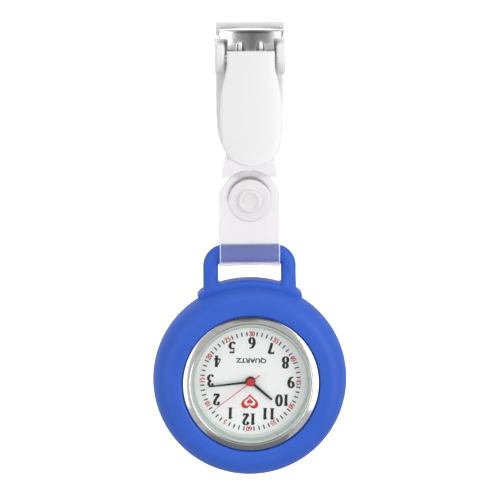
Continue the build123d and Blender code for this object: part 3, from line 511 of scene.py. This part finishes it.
# ---- case, bezel and crystal ----
caseRings = {
    "bezel": ([(13.25, 8.3), (14.12, 8.3), (14.12, 9.32), (13.92, 9.58), (12.66, 9.98), (12.42, 9.88), (12.42, 8.85),
               (13.25, 8.85)],
              [0.05, 0.1, 0.12, 0.16, 0.1, 0.03, 0.05, 0.05], "bezel", "bezel_metal"),
    "crystal_gasket": ([(11.5, 8.22), (12.65, 8.22), (12.65, 8.8), (12.37, 8.8), (12.37, 9.75), (12.03, 9.75),
                        (12.03, 8.45), (11.5, 8.45)],
                       0.04, "gasket", "clear_gasket"),
    "dial_flange": ([(11.15, 7.05), (11.85, 7.05), (11.85, 8.18), (11.45, 8.18)], 0.05, "flange", "white_dial"),
    "case_body": ([(12.6, 1.7), (13.35, 1.7), (13.35, 1.15), (13.6, 1.15), (15, 2.35), (15, 7.7), (14.5, 8.2),
                   (13.2, 8.2), (13.2, 8.8), (12.7, 8.8), (12.7, 8.2), (11.9, 8.2), (11.9, 7.85), (12.6, 7.85)],
                  0.06, "caseMetal", "case_metal"),
}
for ringName, (points, radii, finish, slotName) in caseRings.items():
    makePiece(ringName + "Look", [turned(headOutline(points, radii, steps=4), layout["headZ"], 256)], finish, "watch_head",
              (ringName,), 35)


crystalOutline = softCorners([(0, 8.5), (12, 8.5), (12, 9.5), (11.5, 9.85), (0, 9.85)], [0, 0.05, 0.12, 0.2, 0], 5,
                             closed=False)
crystalOutline[:, 1] = layout["backY"] - crystalOutline[:, 1]
makePiece("crystalLook", [turned(crystalOutline, layout["headZ"], 192, closed=False)], "crystal", "watch_head",
          ("crystal",), 30)
backOutline = softCorners(
    [(0, 0.9), (10.7, 0.9), (10.85, 1.0), (11.0, 1.0), (11.15, 0.9), (12.2, 0.9), (12.4, 1.15), (13.3, 1.15),
     (13.3, 1.65), (12.5, 1.65), (12.5, 3.05), (11.9, 3.05), (11.9, 1.75), (0, 1.75)],
    [0] + [0.04] * 4 + [0.12] + [0.05] * 7 + [0], 4, closed=False)
backOutline[:, 1] = layout["backY"] - backOutline[:, 1]
makePiece("caseBackLook", [turned(backOutline, layout["headZ"], 192, closed=False)], "caseMetal", "watch_head",
          ("case_back",), 30)
print("case turned")

# ---- dial print ----
dialPrint = {
    "turn": 1.8,  # the dial sits a little clockwise of upright
    "bigHeight": 2.5, "bigThick": 0.235, "bigThin": 0.095, "advance": 0.58,
    "smallHeight": 1.02, "smallThick": 0.21, "smallThin": 0.14, "smallRadius": 9.9,
    "tick": (9.45, 10.32, 0.125), "lift": 0.02,
    "radii": {1: 7.85, 2: 7.9, 3: 8.2, 4: 7.95, 5: 8.0, 6: 7.95, 7: 8.0, 8: 8.1, 9: 8.3, 10: 7.7, 11: 7.8, 12: 7.95},
}


def loopOf(x, y, rx, ry):
    angle = np.linspace(0, 2 * math.pi, 33)
    return np.stack([x + rx * np.sin(angle), y + ry * np.cos(angle)], -1)


# Each figure is pen strokes in a box one high. A stroke with a number after it keeps that width all along.
figures = {
    "0": [loopOf(0.28, 0.5, 0.20, 0.45)],
    "1": [bend((0.29, 0.96), (0.29, 0.04)), (bend((0.10, 0.82), (0.20, 0.87), (0.27, 0.95)), 0.07),
          (bend((0.11, 0.03), (0.47, 0.03)), 0.06)],
    "2": [bend((0.09, 0.72), (0.13, 0.88), (0.28, 0.95), (0.42, 0.86), (0.43, 0.68), (0.30, 0.42), (0.08, 0.08)),
          (bend((0.07, 0.09), (0.50, 0.09)), 0.18), (bend((0.50, 0.03), (0.50, 0.28)), 0.06),
          (bend((0.10, 0.68), (0.14, 0.76)), 0.13)],
    "3": [bend((0.09, 0.78), (0.15, 0.91), (0.28, 0.95), (0.41, 0.84), (0.38, 0.64), (0.22, 0.53)),
          bend((0.22, 0.53), (0.40, 0.46), (0.46, 0.27), (0.36, 0.09), (0.20, 0.05), (0.08, 0.16)),
          (bend((0.09, 0.73), (0.12, 0.81)), 0.13), (bend((0.07, 0.20), (0.11, 0.12)), 0.13)],
    "4": [bend((0.37, 0.96), (0.37, 0.04)), (bend((0.34, 0.93), (0.05, 0.33)), 0.09),
          (bend((0.02, 0.30), (0.55, 0.30)), 0.12), (bend((0.22, 0.035), (0.52, 0.035)), 0.07)],
    "5": [(bend((0.13, 0.94), (0.11, 0.54)), 0.08), (bend((0.11, 0.89), (0.47, 0.89)), 0.16),
          bend((0.11, 0.54), (0.26, 0.60), (0.42, 0.50), (0.45, 0.29), (0.35, 0.10), (0.19, 0.05), (0.08, 0.15)),
          (bend((0.07, 0.20), (0.11, 0.12)), 0.13)],
    "6": [bend((0.45, 0.93), (0.25, 0.85), (0.10, 0.58), (0.10, 0.28), (0.20, 0.08), (0.34, 0.06), (0.45, 0.20),
               (0.45, 0.38), (0.36, 0.53), (0.22, 0.54), (0.12, 0.44))],
    "7": [(bend((0.06, 0.88), (0.51, 0.88)), 0.17), bend((0.47, 0.88), (0.34, 0.50), (0.24, 0.03)),
          (bend((0.06, 0.97), (0.06, 0.72)), 0.06)],
    "8": [loopOf(0.28, 0.74, 0.16, 0.21), loopOf(0.28, 0.27, 0.19, 0.24)],
}
figures["9"] = [(0.56, 1.0) - stroke for stroke in figures["6"]]


def penStroke(line, thick, thin):
    # A ribbon along a line, wide where the line runs up or down and narrow where it runs across.
    along = np.gradient(line, axis=0)
    along /= np.maximum(np.linalg.norm(along, axis=1, keepdims=True), 1e-9)
    half = (thin + (thick - thin) * np.abs(along[:, 1:]) ** 1.4) / 2
    side = np.stack([-along[:, 1], along[:, 0]], -1) * half
    return np.stack([line - side, line + side], 1).reshape(-1, 2), gridFaces(len(line), 2)


def onDial(flat, angle, radius, turn):
    # Puts flat points at a clock angle on a dial whose twelve is at the bottom, turned by turn from upright.
    lean = math.radians(dialPrint["turn"])
    c, s = math.cos(turn + lean), math.sin(turn + lean)
    a = math.radians(angle) + lean
    u = -radius * math.sin(a) - (flat[:, 0] * c + flat[:, 1] * s)
    v = -radius * math.cos(a) - (flat[:, 1] * c - flat[:, 0] * s)
    y = np.full(len(flat), layout["dialFrontY"] - dialPrint["lift"])
    return np.stack([u, y, v + layout["headZ"]], -1)


def number(text, height, thick, thin, advance, angle, radius, turn=0.0):
    parts = []
    width = advance * len(text)
    for place, digit in enumerate(text):
        for stroke in figures[digit]:
            line, fixed = stroke if isinstance(stroke, tuple) else (stroke, None)
            flat, faces = penStroke(line, fixed or thick, fixed or thin)
            flat = (flat + (place * advance - width / 2, -0.5)) * height
            parts.append((onDial(flat, angle, radius, turn), faces))
    return parts


blackParts, redParts = [], []
for hour, radius in dialPrint["radii"].items():
    blackParts += number(str(hour), dialPrint["bigHeight"], dialPrint["bigThick"], dialPrint["bigThin"],
                         dialPrint["advance"], hour * 30, radius)
for minute in range(5, 65, 5):
    redParts += number(str(minute), dialPrint["smallHeight"], dialPrint["smallThick"], dialPrint["smallThin"],
                       dialPrint["advance"], minute * 6, dialPrint["smallRadius"], math.radians(minute * 6))
near, far, tickHalf = dialPrint["tick"]
for minute in set(range(60)) - set(range(0, 60, 5)):
    tick = np.array([(-tickHalf, near), (tickHalf, near), (tickHalf, far), (-tickHalf, far)], float)
    blackParts.append((onDial(tick, 0, 0, math.radians(minute * 6)), [(0, 1, 2, 3)]))


def letters(text, height, width, angle, radius):
    # Small printed capitals from the built-in face, made a mesh and fitted to a width.
    line = bpy.data.curves.new("letters", "FONT")
    line.body, line.align_x, line.align_y, line.offset = text, "CENTER", "CENTER", 0.03
    holder = bpy.data.objects.new("letters", line)
    bpy.context.scene.collection.objects.link(holder)
    bpy.context.view_layer.update()
    mesh = bpy.data.meshes.new_from_object(holder.evaluated_get(bpy.context.evaluated_depsgraph_get()))
    bpy.data.objects.remove(holder)
    points = np.zeros(len(mesh.vertices) * 3)
    mesh.vertices.foreach_get("co", points)
    flat = points.reshape(-1, 3)[:, :2]
    flat = (flat - (flat.max(0) + flat.min(0)) / 2) / (flat.max(0) - flat.min(0)) * (width, height)
    faces = [tuple(p.vertices) for p in mesh.polygons]
    bpy.data.meshes.remove(mesh)
    return onDial(flat, angle, radius, 0), faces


blackParts.append(letters("QUARTZ", 1.15, 6.2, 180, 4.4))


def heart(width, line, angle, radius):
    # A heart drawn as an outline: across is the cube of a sine, and up is a sum of four cosines. The second ring of
    # points is the same curve made smaller about its middle.
    t = np.linspace(0, 2 * math.pi, 96, endpoint=False)
    up = 13 * np.cos(t) - 5 * np.cos(2 * t) - 2 * np.cos(3 * t) - np.cos(4 * t) + 2.5
    curve = np.stack([16 * np.sin(t) ** 3, up], -1) * width / 32
    inside = curve * (1 - 2 * line / width) + (0, -0.04)
    return onDial(np.concatenate([curve, inside]), angle, radius, 0), gridFaces(2, 96, False, True)


redParts.append(heart(3.5, 0.62, 0, 4.1))
redParts.append(heart(1.25, 0.55, 0, 4.1))
makePiece("dialFigures", blackParts, "blackInk", "watch_head")
makePiece("dialMinutes", redParts, "redInk", "watch_head")
for piece in ("dialFigures", "dialMinutes"):
    mesh = bpy.data.objects[piece].data
    facing = np.zeros(len(mesh.polygons) * 3)
    mesh.polygons.foreach_get("normal", facing)
    if facing[1::3].sum() > 0:
        mesh.flip_normals()
print("dial printed")

# ---- strap ----
strap = {
    "thickness": 0.6, "edge": 0.22, "arch": 0.35, "half": 6.15, "foldRadius": 2.4, "slitRadius": 1.5,
    "neck": 4.6, "neckLength": 4.0, "neckTaper": 7.3, "backRun": 1.45, "leaf": -1.2,
    "turnDepth": 4,  # how far below the clip's bar nothing moves with the leaf
}


def arcPoints(centreZ, radius, start, stop, steps):
    # Part of a circle round a bar, from a start angle to a stop angle in degrees. 0 points away from the viewer.
    a = np.radians(np.linspace(start, stop, steps))
    return np.stack([layout["hangY"] + radius * np.cos(a), centreZ + radius * np.sin(a)], -1)


def neckWidths(at):
    # Half widths along the strip: the narrow neck, then a taper to the full width.
    neckEnd = strap["neckLength"]
    return np.interp(at, [0, neckEnd, neckEnd + strap["neckTaper"]], [strap["neck"], strap["neck"], strap["half"]])


def strapStrip():
    # Over the clip's bar, down the back, round the loop's bar and up the front to the round end.
    y, fold, slit = layout["hangY"], strap["foldRadius"], strap["slitRadius"]
    back, leaf, snapZ = y + strap["backRun"], y + strap["leaf"], layout["snapZ"]
    clipZ, loopZ = layout["clipBarZ"], layout["loopBarZ"]
    down = curveThrough((y + slit, clipZ), (back + 0.1, clipZ - 6), (back - 0.25, snapZ - 3), (back + 0.1, snapZ - 4.5), 24)
    toFold = curveThrough((back + 0.1, snapZ - 4.5), (back + 0.45, snapZ - 6), (y + fold, loopZ + 3), (y + fold, loopZ), 16)
    fromFold = curveThrough((y - fold, loopZ), (y - fold, loopZ + 3), (leaf, snapZ - 7), (leaf, snapZ - 3.5), 16)
    end = np.array([(leaf, snapZ - 3.5), (leaf, snapZ + strap["half"])])
    line = np.concatenate([
        arcPoints(clipZ, slit, 100, 0, 14), down[1:], toFold[1:],
        arcPoints(loopZ, fold, 0, -180, 30)[1:], fromFold[1:], end[1:],
    ])
    path, at = evenPath(line, 0.22)
    wide = neckWidths(at)
    beyond = np.clip(strap["half"] - (at[-1] - at), 0, strap["half"] - 0.02)
    wide = np.minimum(wide, np.sqrt(np.maximum(strap["half"] ** 2 - beyond ** 2, 0)))
    points, faces = thickStrip(path, wide, strap["thickness"])
    # the fold bows up a little in the middle
    near = np.clip((loopZ - points[:, 2]) / fold, 0, 1)
    points[:, 2] += strap["arch"] * near * (1 - (points[:, 0] / strap["half"]) ** 2)
    return points, faces


def markEdges(piece):
    # The faces along both sides take the finish of the cut edge.
    mesh = piece.data
    mesh.materials.append(finishes["vinylEdge"])
    points = np.zeros(len(mesh.vertices) * 3)
    mesh.vertices.foreach_get("co", points)
    x = np.abs(points.reshape(-1, 3)[:, 0]) / mm
    side = [1 if min(x[v] for v in p.vertices) > strap["half"] - strap["edge"] else 0 for p in mesh.polygons]
    mesh.polygons.foreach_set("material_index", side)


def strapTab():
    # The return end in front of the clip's bar, welded to the back run.
    y, slit, back = layout["hangY"], strap["slitRadius"], layout["hangY"] + strap["backRun"]
    clipZ = layout["clipBarZ"]
    weld = clipZ - 4.6
    line = np.concatenate([
        arcPoints(clipZ, slit, 95, 180, 12),
        curveThrough((y - slit, clipZ), (y - slit, clipZ - 2.2), (back - 0.75, weld + 1.5), (back - 0.6, weld), 14)[1:],
        [(back - 0.5, weld - 3.0)],
    ])
    path, at = evenPath(line, 0.25)
    wide = neckWidths(at)
    return thickStrip(path, wide, strap["thickness"])


strip = makePiece("strapStrip", [strapStrip()], "vinyl", None, ("strap_back_run", "strap_front_leaf"), 60)
markEdges(strip)
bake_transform(strip, "strap", "strap_flap", start=(0, (layout["hangY"] + 0.9) * mm, layout["loopBarZ"] * mm),
         end=(0, (layout["hangY"] - 0.8) * mm, layout["loopBarZ"] * mm))
# The blend weighs points by depth alone, so it would swing the turn round the clip's bar with the leaf. That turn
# stays with the strap, so its weights are set to zero here.
turnFoot = (layout["clipBarZ"] - strap["turnDepth"]) * mm
heights, share = np.zeros(len(strip.data.vertices) * 3), np.zeros(len(strip.data.vertices))
strip.data.vertices.foreach_get("co", heights)
strip.data.attributes["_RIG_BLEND"].data.foreach_get("value", share)
strip.data.attributes["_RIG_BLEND"].data.foreach_set("value", np.where(heights[2::3] > turnFoot, 0, share))
makePiece("strapTab", [strapTab()], "vinyl", "strap", (), 60)
print("strap folded")

# ---- press stud ----
leafFront = layout["hangY"] + strap["leaf"] - 0.35
leafBack = leafFront + 0.7
runFront = layout["hangY"] + strap["backRun"] - 0.35
runBack = runFront + 0.7
studShapes = {
    "snap_cap": ("strap_flap", [(0, -0.62), (0.55, -0.75), (1.5, -0.78), (1.7, -1.1), (2.15, -1.1), (2.38, -0.9),
                                (2.38, -0.55), (4.05, -0.52), (4.4, -0.25), (4.4, 0), (0.8, 0), (0.8, 0.8), (0, 0.8)],
                 leafFront),
    "snap_socket": ("strap_flap", [(0.85, 0), (3.2, 0), (3.2, 1.2), (3.0, 1.4), (1.75, 1.4), (1.75, 0.2), (0.85, 0.2)],
                    leafBack),
    "snap_stud": ("strap", [(0.85, 0), (3.2, 0), (3.2, -0.45), (1.3, -0.45), (1.55, -0.9), (1.55, -1.25), (1.3, -1.5),
                            (0.85, -1.5)], runFront),
    "snap_back_cap": ("strap", [(0, 0.7), (3.2, 0.7), (4.4, 0.3), (4.4, 0), (0.8, 0), (0.8, -2.1), (0, -2.1)], runBack),
}
for node, (body, points, faceY) in studShapes.items():
    onAxis = points[0][0] == 0
    radii = [0.0] + [0.1] * (len(points) - 2) + [0.0] if onAxis else [0.08] * len(points)
    outline = softCorners(points, radii, 5, closed=not onAxis) + (0, faceY)
    makePiece(node + "Look", [turned(outline, layout["snapZ"], 96, closed=not onAxis)], "stud", body, (node,),
              50)
print("press stud set")

# ---- clip ----
lever = {
    "top": (-4.6, -4.15), "tilt": 11.0, "thickness": 1.5, "crown": 22.0,
    "length": 23.35, "bluntFrom": 17.5, "blunt": 2.2,
    "halfWidths": [(0, 4.88), (2.8, 4.88), (4.4, 5.12), (7.3, 5.85), (10.6, 6.3), (13.8, 6.42), (17.5, 6.1)],
    "lug": (4.05, 1.3), "pin": (-0.9, -6.3),
}


def leverWidths():
    # Half widths down the grip, ended by a blunt round tip: one minus a power of the distance, to the inverse power.
    sides = bend(*lever["halfWidths"])
    t = np.sin(np.linspace(0, math.pi / 2, 44))[1:]
    tip = np.maximum(1 - t ** lever["blunt"], 0) ** (1 / lever["blunt"])
    at = np.concatenate([sides[:, 0], lever["bluntFrom"] + t * (lever["length"] - lever["bluntFrom"])])
    return at, np.concatenate([sides[:, 1], sides[-1, 1] * tip])


def leverShell():
    # Crowned grip: its section is a thin round-edged band bent to the crown's circle, carried down the tilted face.
    at, wide = leverWidths()
    angle = np.linspace(0, 2 * math.pi, 96, endpoint=False)
    c, s = np.cos(angle), np.sin(angle)
    across = wide[:, None] * np.sign(c) * np.abs(c) ** 0.3
    ease = np.clip(np.stack([wide / 1.1, (at + 0.02) / 0.35], -1).min(1), 0, 1)[:, None] ** 0.5
    through = lever["thickness"] / 2 * (np.sign(s) * np.abs(s) ** 0.5 * ease - 1)
    out = through - (lever["crown"] - np.sqrt(lever["crown"] ** 2 - across ** 2))
    tilt = math.radians(lever["tilt"])
    down = at[:, None] + 0 * across
    y = lever["top"][0] - down * math.sin(tilt) - out * math.cos(tilt)
    z = lever["top"][1] - down * math.cos(tilt) + out * math.sin(tilt)
    points = np.stack([across, y, z], -1).reshape(-1, 3)
    return points, gridFaces(len(at), len(angle), False, True).tolist() + [tuple(range(len(angle)))]


def leverLugs():
    pinY, pinZ = lever["pin"]
    slope = math.tan(math.radians(lever["tilt"]))
    place, thick = lever["lug"]

    def faceY(z):
        return lever["top"][0] + (z - lever["top"][1]) * slope + 1.15

    a = np.radians(np.linspace(90, -90, 16))
    boss = np.stack([pinY + 1.75 * np.cos(a), pinZ + 1.75 * np.sin(a)], -1)
    outline = np.concatenate([boss, [(faceY(pinZ - 4), pinZ - 4), (faceY(pinZ + 1.75), pinZ + 1.75)]])
    return [slab(outline, side * place - thick / 2, side * place + thick / 2, 0.15) for side in (-1, 1)]


makePiece("thumbLever", [leverShell()] + leverLugs(), "whitePlastic", "thumb_lever", ("front_lever",), 55)
# The rear jaw's pale band is painted reflection: near-white colour in its steel finish stands in for reflected light.
softened("rear_jaw", "satinSteelPaintedReflection", "clip_back", 0.07)
pinY, pinZ = lever["pin"]
pinOutline = softCorners([(0, 7.3), (0.8, 7.22), (0.8, -7.22), (0, -7.3)], [0, 0.25, 0.25, 0], 6, closed=False)
pinPoints, pinFaces = turned(pinOutline, 0, 48, closed=False)
makePiece("hingePin", [(pinPoints[:, [1, 0, 2]] + (0, pinY, pinZ), pinFaces)], "jawSteel", "clip_back",
          ("hinge_pin",), 40)
print("clip assembled")

jaw = {
    "path": [(-3.09, -7.2), (-2.5, -4.15), (-1.74, -0.75), (-1.5, -0.2), (-0.3, 0.12)],
    "stem": 4.8, "head": 6.5, "shoulder": -1.85, "corner": 0.45, "fillet": 0.7,
    "slot": (2.0, 0.85, -3.35), "bow": 16.0, "thickness": 0.42,
    "tangTop": -4.2, "tang": 3.3, "flatBelow": -5.4, "easeOver": 2.4,
}


def jawHalfWidth(z):
    # Stem, a concave quarter circle out to the head, then a convex quarter circle at each of the head's corners.
    shoulder, fillet, corner, stem, head = (jaw[k] for k in ("shoulder", "fillet", "corner", "stem", "head"))
    out = stem + fillet - np.sqrt(np.maximum(fillet ** 2 - np.clip(z - (shoulder - fillet), 0, fillet) ** 2, 0))
    low = np.clip(corner - (z - shoulder), 0, corner)
    high = np.clip(corner - (jaw["path"][-1][1] - z), 0, corner)
    head = head - corner + np.sqrt(np.maximum(corner ** 2 - np.maximum(low, high) ** 2, 0))
    return np.where(z < shoulder, out, head)


def jawPlate():
    # Sheet carried up the path in three strips, side by side. Two arched slots open between the strips. The sheet is
    # dished: it comes forward by the square of the distance from the middle.
    pathPoints = softCorners(jaw["path"], [0, 0.4, 0.3, 0.25, 0], 6, closed=False)
    path, _ = evenPath(pathPoints, 0.1)
    z = path[:, 1]
    place, half, spring = jaw["slot"]
    arch = half * np.sqrt(np.clip(1 - np.clip((z - spring) / half, 0, 1) ** 2, 0, 1))
    wide = jawHalfWidth(z)
    tang = z < jaw["tangTop"]
    wide[tang] = np.minimum(wide[tang], jaw["tang"])
    dish = np.clip((z[:, None] - jaw["flatBelow"]) / jaw["easeOver"], 0, 1)
    edges = [(-wide, -place - arch), (-place + arch, place - arch), (place + arch, wide)]
    parts = []
    for left, right in edges:
        t = np.linspace(0, 1, 13)
        x = left[:, None] + (right - left)[:, None] * t
        y = path[:, :1] - x ** 2 / (2 * jaw["bow"]) * dish
        parts.append((np.stack([x, y, np.broadcast_to(z[:, None], x.shape)], -1).reshape(-1, 3), gridFaces(len(path), 13)))
    return parts


def jawTab(side):
    # A narrow tongue lanced forward in each slot.
    line = evenPath(bend((-2.62, -4.5), (-3.0, -3.9), (-2.95, -3.2), (-2.45, -2.75)), 0.12)[0]
    points, faces = thickStrip(line, np.full(len(line), 0.36), 0.25, 0.4, 20)
    return points + (side * 2.12, 0.2, 0), faces


plateLook = makePiece("jawPlate", jawPlate(), "jawSteel", "thumb_lever", ("front_jaw",), 40)
wall = plateLook.modifiers.new("sheet", "SOLIDIFY")
wall.thickness, wall.offset, wall.use_even_offset = jaw["thickness"] * mm, 0, True
rim = plateLook.modifiers.new("rim", "BEVEL")
rim.width, rim.segments, rim.limit_method, rim.angle_limit = 0.07 * mm, 2, "ANGLE", math.radians(50)
# The tongues use the same near-white steel as the rear jaw: a painted highlight for the bright strips in the slots.
makePiece("jawTabs", [jawTab(-1), jawTab(1)], "satinSteelPaintedReflection", "thumb_lever", (), 50)
print("jaws pressed")

rearPlate = {
    "front": 1.7, "back": 3.5, "rounding": 0.5, "top": -2.8, "foot": -25.15,
    "ears": (5.25, 7.15, 0.62),
}


def rearBoard():
    # The back plate as one band round the strap's slot, worked out for the right half and mirrored.
    top, foot, zero = rearPlate["top"], rearPlate["foot"], layout["headZ"]
    outer = bend((0, top), (2.5, top), (5.2, top), (6.0, top - 0.25), (6.5, top - 1.0), (6.8, -4.6), (6.82, -8),
                 (6.82, -12), (6.8, -16), (6.72, -19.5), (6.45, -22.2), (6.0, -24.0), (5.3, -24.95), (4.2, foot),
                 (2.0, foot), (0, foot))
    hole = bend((0, -22.2), (1.2, -22.2), (2.4, -22.2), (3.6, -22.2), (4.3, -22.25), (4.6, -22.4), (4.85, -22.65),
                (4.9, -22.85), (4.9, -23.0), (4.85, -23.15), (4.7, -23.3), (4.4, -23.42), (3.6, -23.45),
                (2.4, -23.45), (1.2, -23.45), (0, -23.45))
    outer, inner = (np.concatenate([line, line[-2:0:-1] * (-1, 1)]) - (0, zero) for line in (outer, hole))
    low, high = layout["backY"] - rearPlate["back"], layout["backY"] - rearPlate["front"]
    return roundedBand(outer, inner, low, high, rearPlate["rounding"])


def ears():
    low, high, rounding = rearPlate["ears"]
    outline = bend((2.6, -9.4), (1.0, -9.9), (-1.2, -9.55), (-2.7, -8.6), (-3.45, -7.2), (-3.65, -5.8), (-3.6, -4.6),
                   (-3.25, -3.45), (-2.4, -2.75), (-1.0, -2.55), (0.8, -2.7), (2.6, -2.8))[::-1]
    return [slab(outline, min(side * low, side * high), max(side * low, side * high), rounding, 6) for side in (-1, 1)]


makePiece("rearLever", [rearBoard()] + ears(), "whitePlastic", "clip_back", ("rear_lever",), 45)
print("clip's back moulded")

# ---- hands and everything kept from the CAD ----
kept = {
    "dial": "dial", "hour_hand": "blackLacquer", "minute_hand": "blackLacquer", "second_hand": "redLacquer",
    "crown": "caseMetal", "crown_tube": "caseMetal", "winding_stem": "springSteel", "setting_fork": "springSteel",
    "crown_gasket": "rubber", "case_back_seal": "rubber", "torsion_spring": "springSteel",
    "movement_holder": "nylon", "main_plate": "brass", "train_bridge": "brass", "bridge_screws": "springSteel",
    "battery": "caseMetal", "battery_clamp": "springSteel", "circuit_board": "board", "control_chip": "rubber",
    "oscillator_can": "caseMetal", "coil_winding": "copper", "coil_bobbin": "nylon", "coil_core": "springSteel",
    "stator": "springSteel", "rotor": "springSteel", "fifth_wheel": "nylon", "fourth_wheel": "brass", "third_wheel": "nylon",
    "centre_wheel": "brass", "cannon_pinion": "brass", "minute_wheel": "brass", "hour_wheel": "brass",
    "setting_wheel": "brass",
}
for node, finish in kept.items():
    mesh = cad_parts[node].data
    mesh.materials.clear()
    mesh.materials.append(finishes[finish])
print("kept nodes finished:", len(kept))


# ---- studio ----
studio = {
    "floorZ": -165, "floorRadius": 1900, "bowlRadius": 2650, "height": 2650,
    "azimuth": -2.5, "elevation": 11.0, "lens": 700, "sensor": 36, "fieldWidth": 102.0, "target": (0, 0, -46.15),
    "skyStrength": 0.57,
}


def paperBowl():
    # Pale floor that curves up into a wall all round, so that every side has the same plain ground.
    a = np.linspace(0, math.pi / 2, 16)
    bendR = studio["bowlRadius"] - studio["floorRadius"]
    profile = np.concatenate([
        [(0.0, studio["floorZ"])],
        np.stack([studio["floorRadius"] + bendR * np.sin(a), studio["floorZ"] + bendR * (1 - np.cos(a))], -1),
        [(studio["bowlRadius"], studio["height"])],
    ])
    points, faces = turned(profile, 0, 96, closed=False)
    mesh = bpy.data.meshes.new("paper")
    mesh.from_pydata((points[:, [0, 2, 1]] * mm).tolist(), [], faces.tolist())
    mesh.polygons.foreach_set("use_smooth", np.ones(len(mesh.polygons), bool))
    sheet = bpy.data.objects.new("paper", mesh)
    bpy.context.scene.collection.objects.link(sheet)
    glow = {"Emission Color": grey(1.0), "Emission Strength": 1.02}
    paper = Finish("pale paper", {"Base Color": grey(0.6), "Roughness": 0.9, **glow})
    mesh.materials.append(paper.material)
    sheet.visible_diffuse = sheet.visible_glossy = sheet.visible_shadow = False
    return sheet


def card(name, place, aim, width, height, shade):
    # A flat card that the camera doesn't see: it only shapes the reflections.
    mesh = bpy.data.meshes.new(name)
    w, h = width * mm / 2, height * mm / 2
    mesh.from_pydata([(-w, -h, 0), (w, -h, 0), (w, h, 0), (-w, h, 0)], [], [(0, 1, 2, 3)])
    turn = (Vector(aim) - Vector(place)).to_track_quat("-Z", "Y").to_matrix().to_4x4()
    mesh.transform(Matrix.Translation(Vector(place) * mm) @ turn)
    mesh.materials.append(Finish(name, {"Base Color": grey(shade), "Roughness": 1.0, "Specular IOR Level": 0.0}).material)
    sheet = bpy.data.objects.new(name, mesh)
    bpy.context.scene.collection.objects.link(sheet)
    sheet.visible_camera = sheet.visible_transmission = sheet.visible_shadow = False
    return sheet


paperBowl()
card("black flag", (0, -250, 114), (0, 0, -60), 250, 96, 0.004)
card("grey card", (0, -250, 54), (0, 0, 0), 46, 34, 0.25)
card("low card", (0, -160, -285), (0, 0, -85), 210, 130, 0.24)


def softBox(name, place, aim, width, height, power):
    light = bpy.data.lights.new(name, "AREA")
    light.shape, light.size, light.size_y, light.energy = "RECTANGLE", width * mm, height * mm, power
    holder = bpy.data.objects.new(name, light)
    holder.location = Vector(place) * mm
    holder.rotation_euler = (Vector(aim) - Vector(place)).to_track_quat("-Z", "Y").to_euler()
    holder.visible_camera = holder.visible_transmission = False
    bpy.context.scene.collection.objects.link(holder)


softBox("left window", (-400, -330, -20), (0, 0, -60), 340, 620, 0.90)
softBox("right window", (400, -330, -20), (0, 0, -60), 340, 620, 1.50)
softBox("overhead", (40, -80, 480), (0, 0, -60), 460, 320, 0.80)
softBox("back fill", (-60, 520, 60), (0, 0, -60), 520, 520, 0.45)
world = bpy.data.worlds.new("studio")
world.use_nodes = True
world.node_tree.nodes["Background"].inputs["Color"].default_value = grey(1.0)
world.node_tree.nodes["Background"].inputs["Strength"].default_value = studio["skyStrength"]
bpy.context.scene.world = world
bpy.context.scene.view_settings.view_transform = "Standard"

lens = bpy.data.cameras.new("camera")
lens.lens, lens.sensor_width = studio["lens"], studio["sensor"]
lens.clip_start, lens.clip_end = 0.01, 40
camera = bpy.data.objects.new("camera", lens)
bpy.context.scene.collection.objects.link(camera)
turn, lift = math.radians(studio["azimuth"]), math.radians(studio["elevation"])
back = Vector((math.sin(turn) * math.cos(lift), -math.cos(turn) * math.cos(lift), math.sin(lift)))
camera.location = (Vector(studio["target"]) + back * studio["fieldWidth"] * studio["lens"] / studio["sensor"]) * mm
camera.rotation_euler = (-back).to_track_quat("-Z", "Y").to_euler()
bpy.context.scene.camera = camera
print("studio lit")
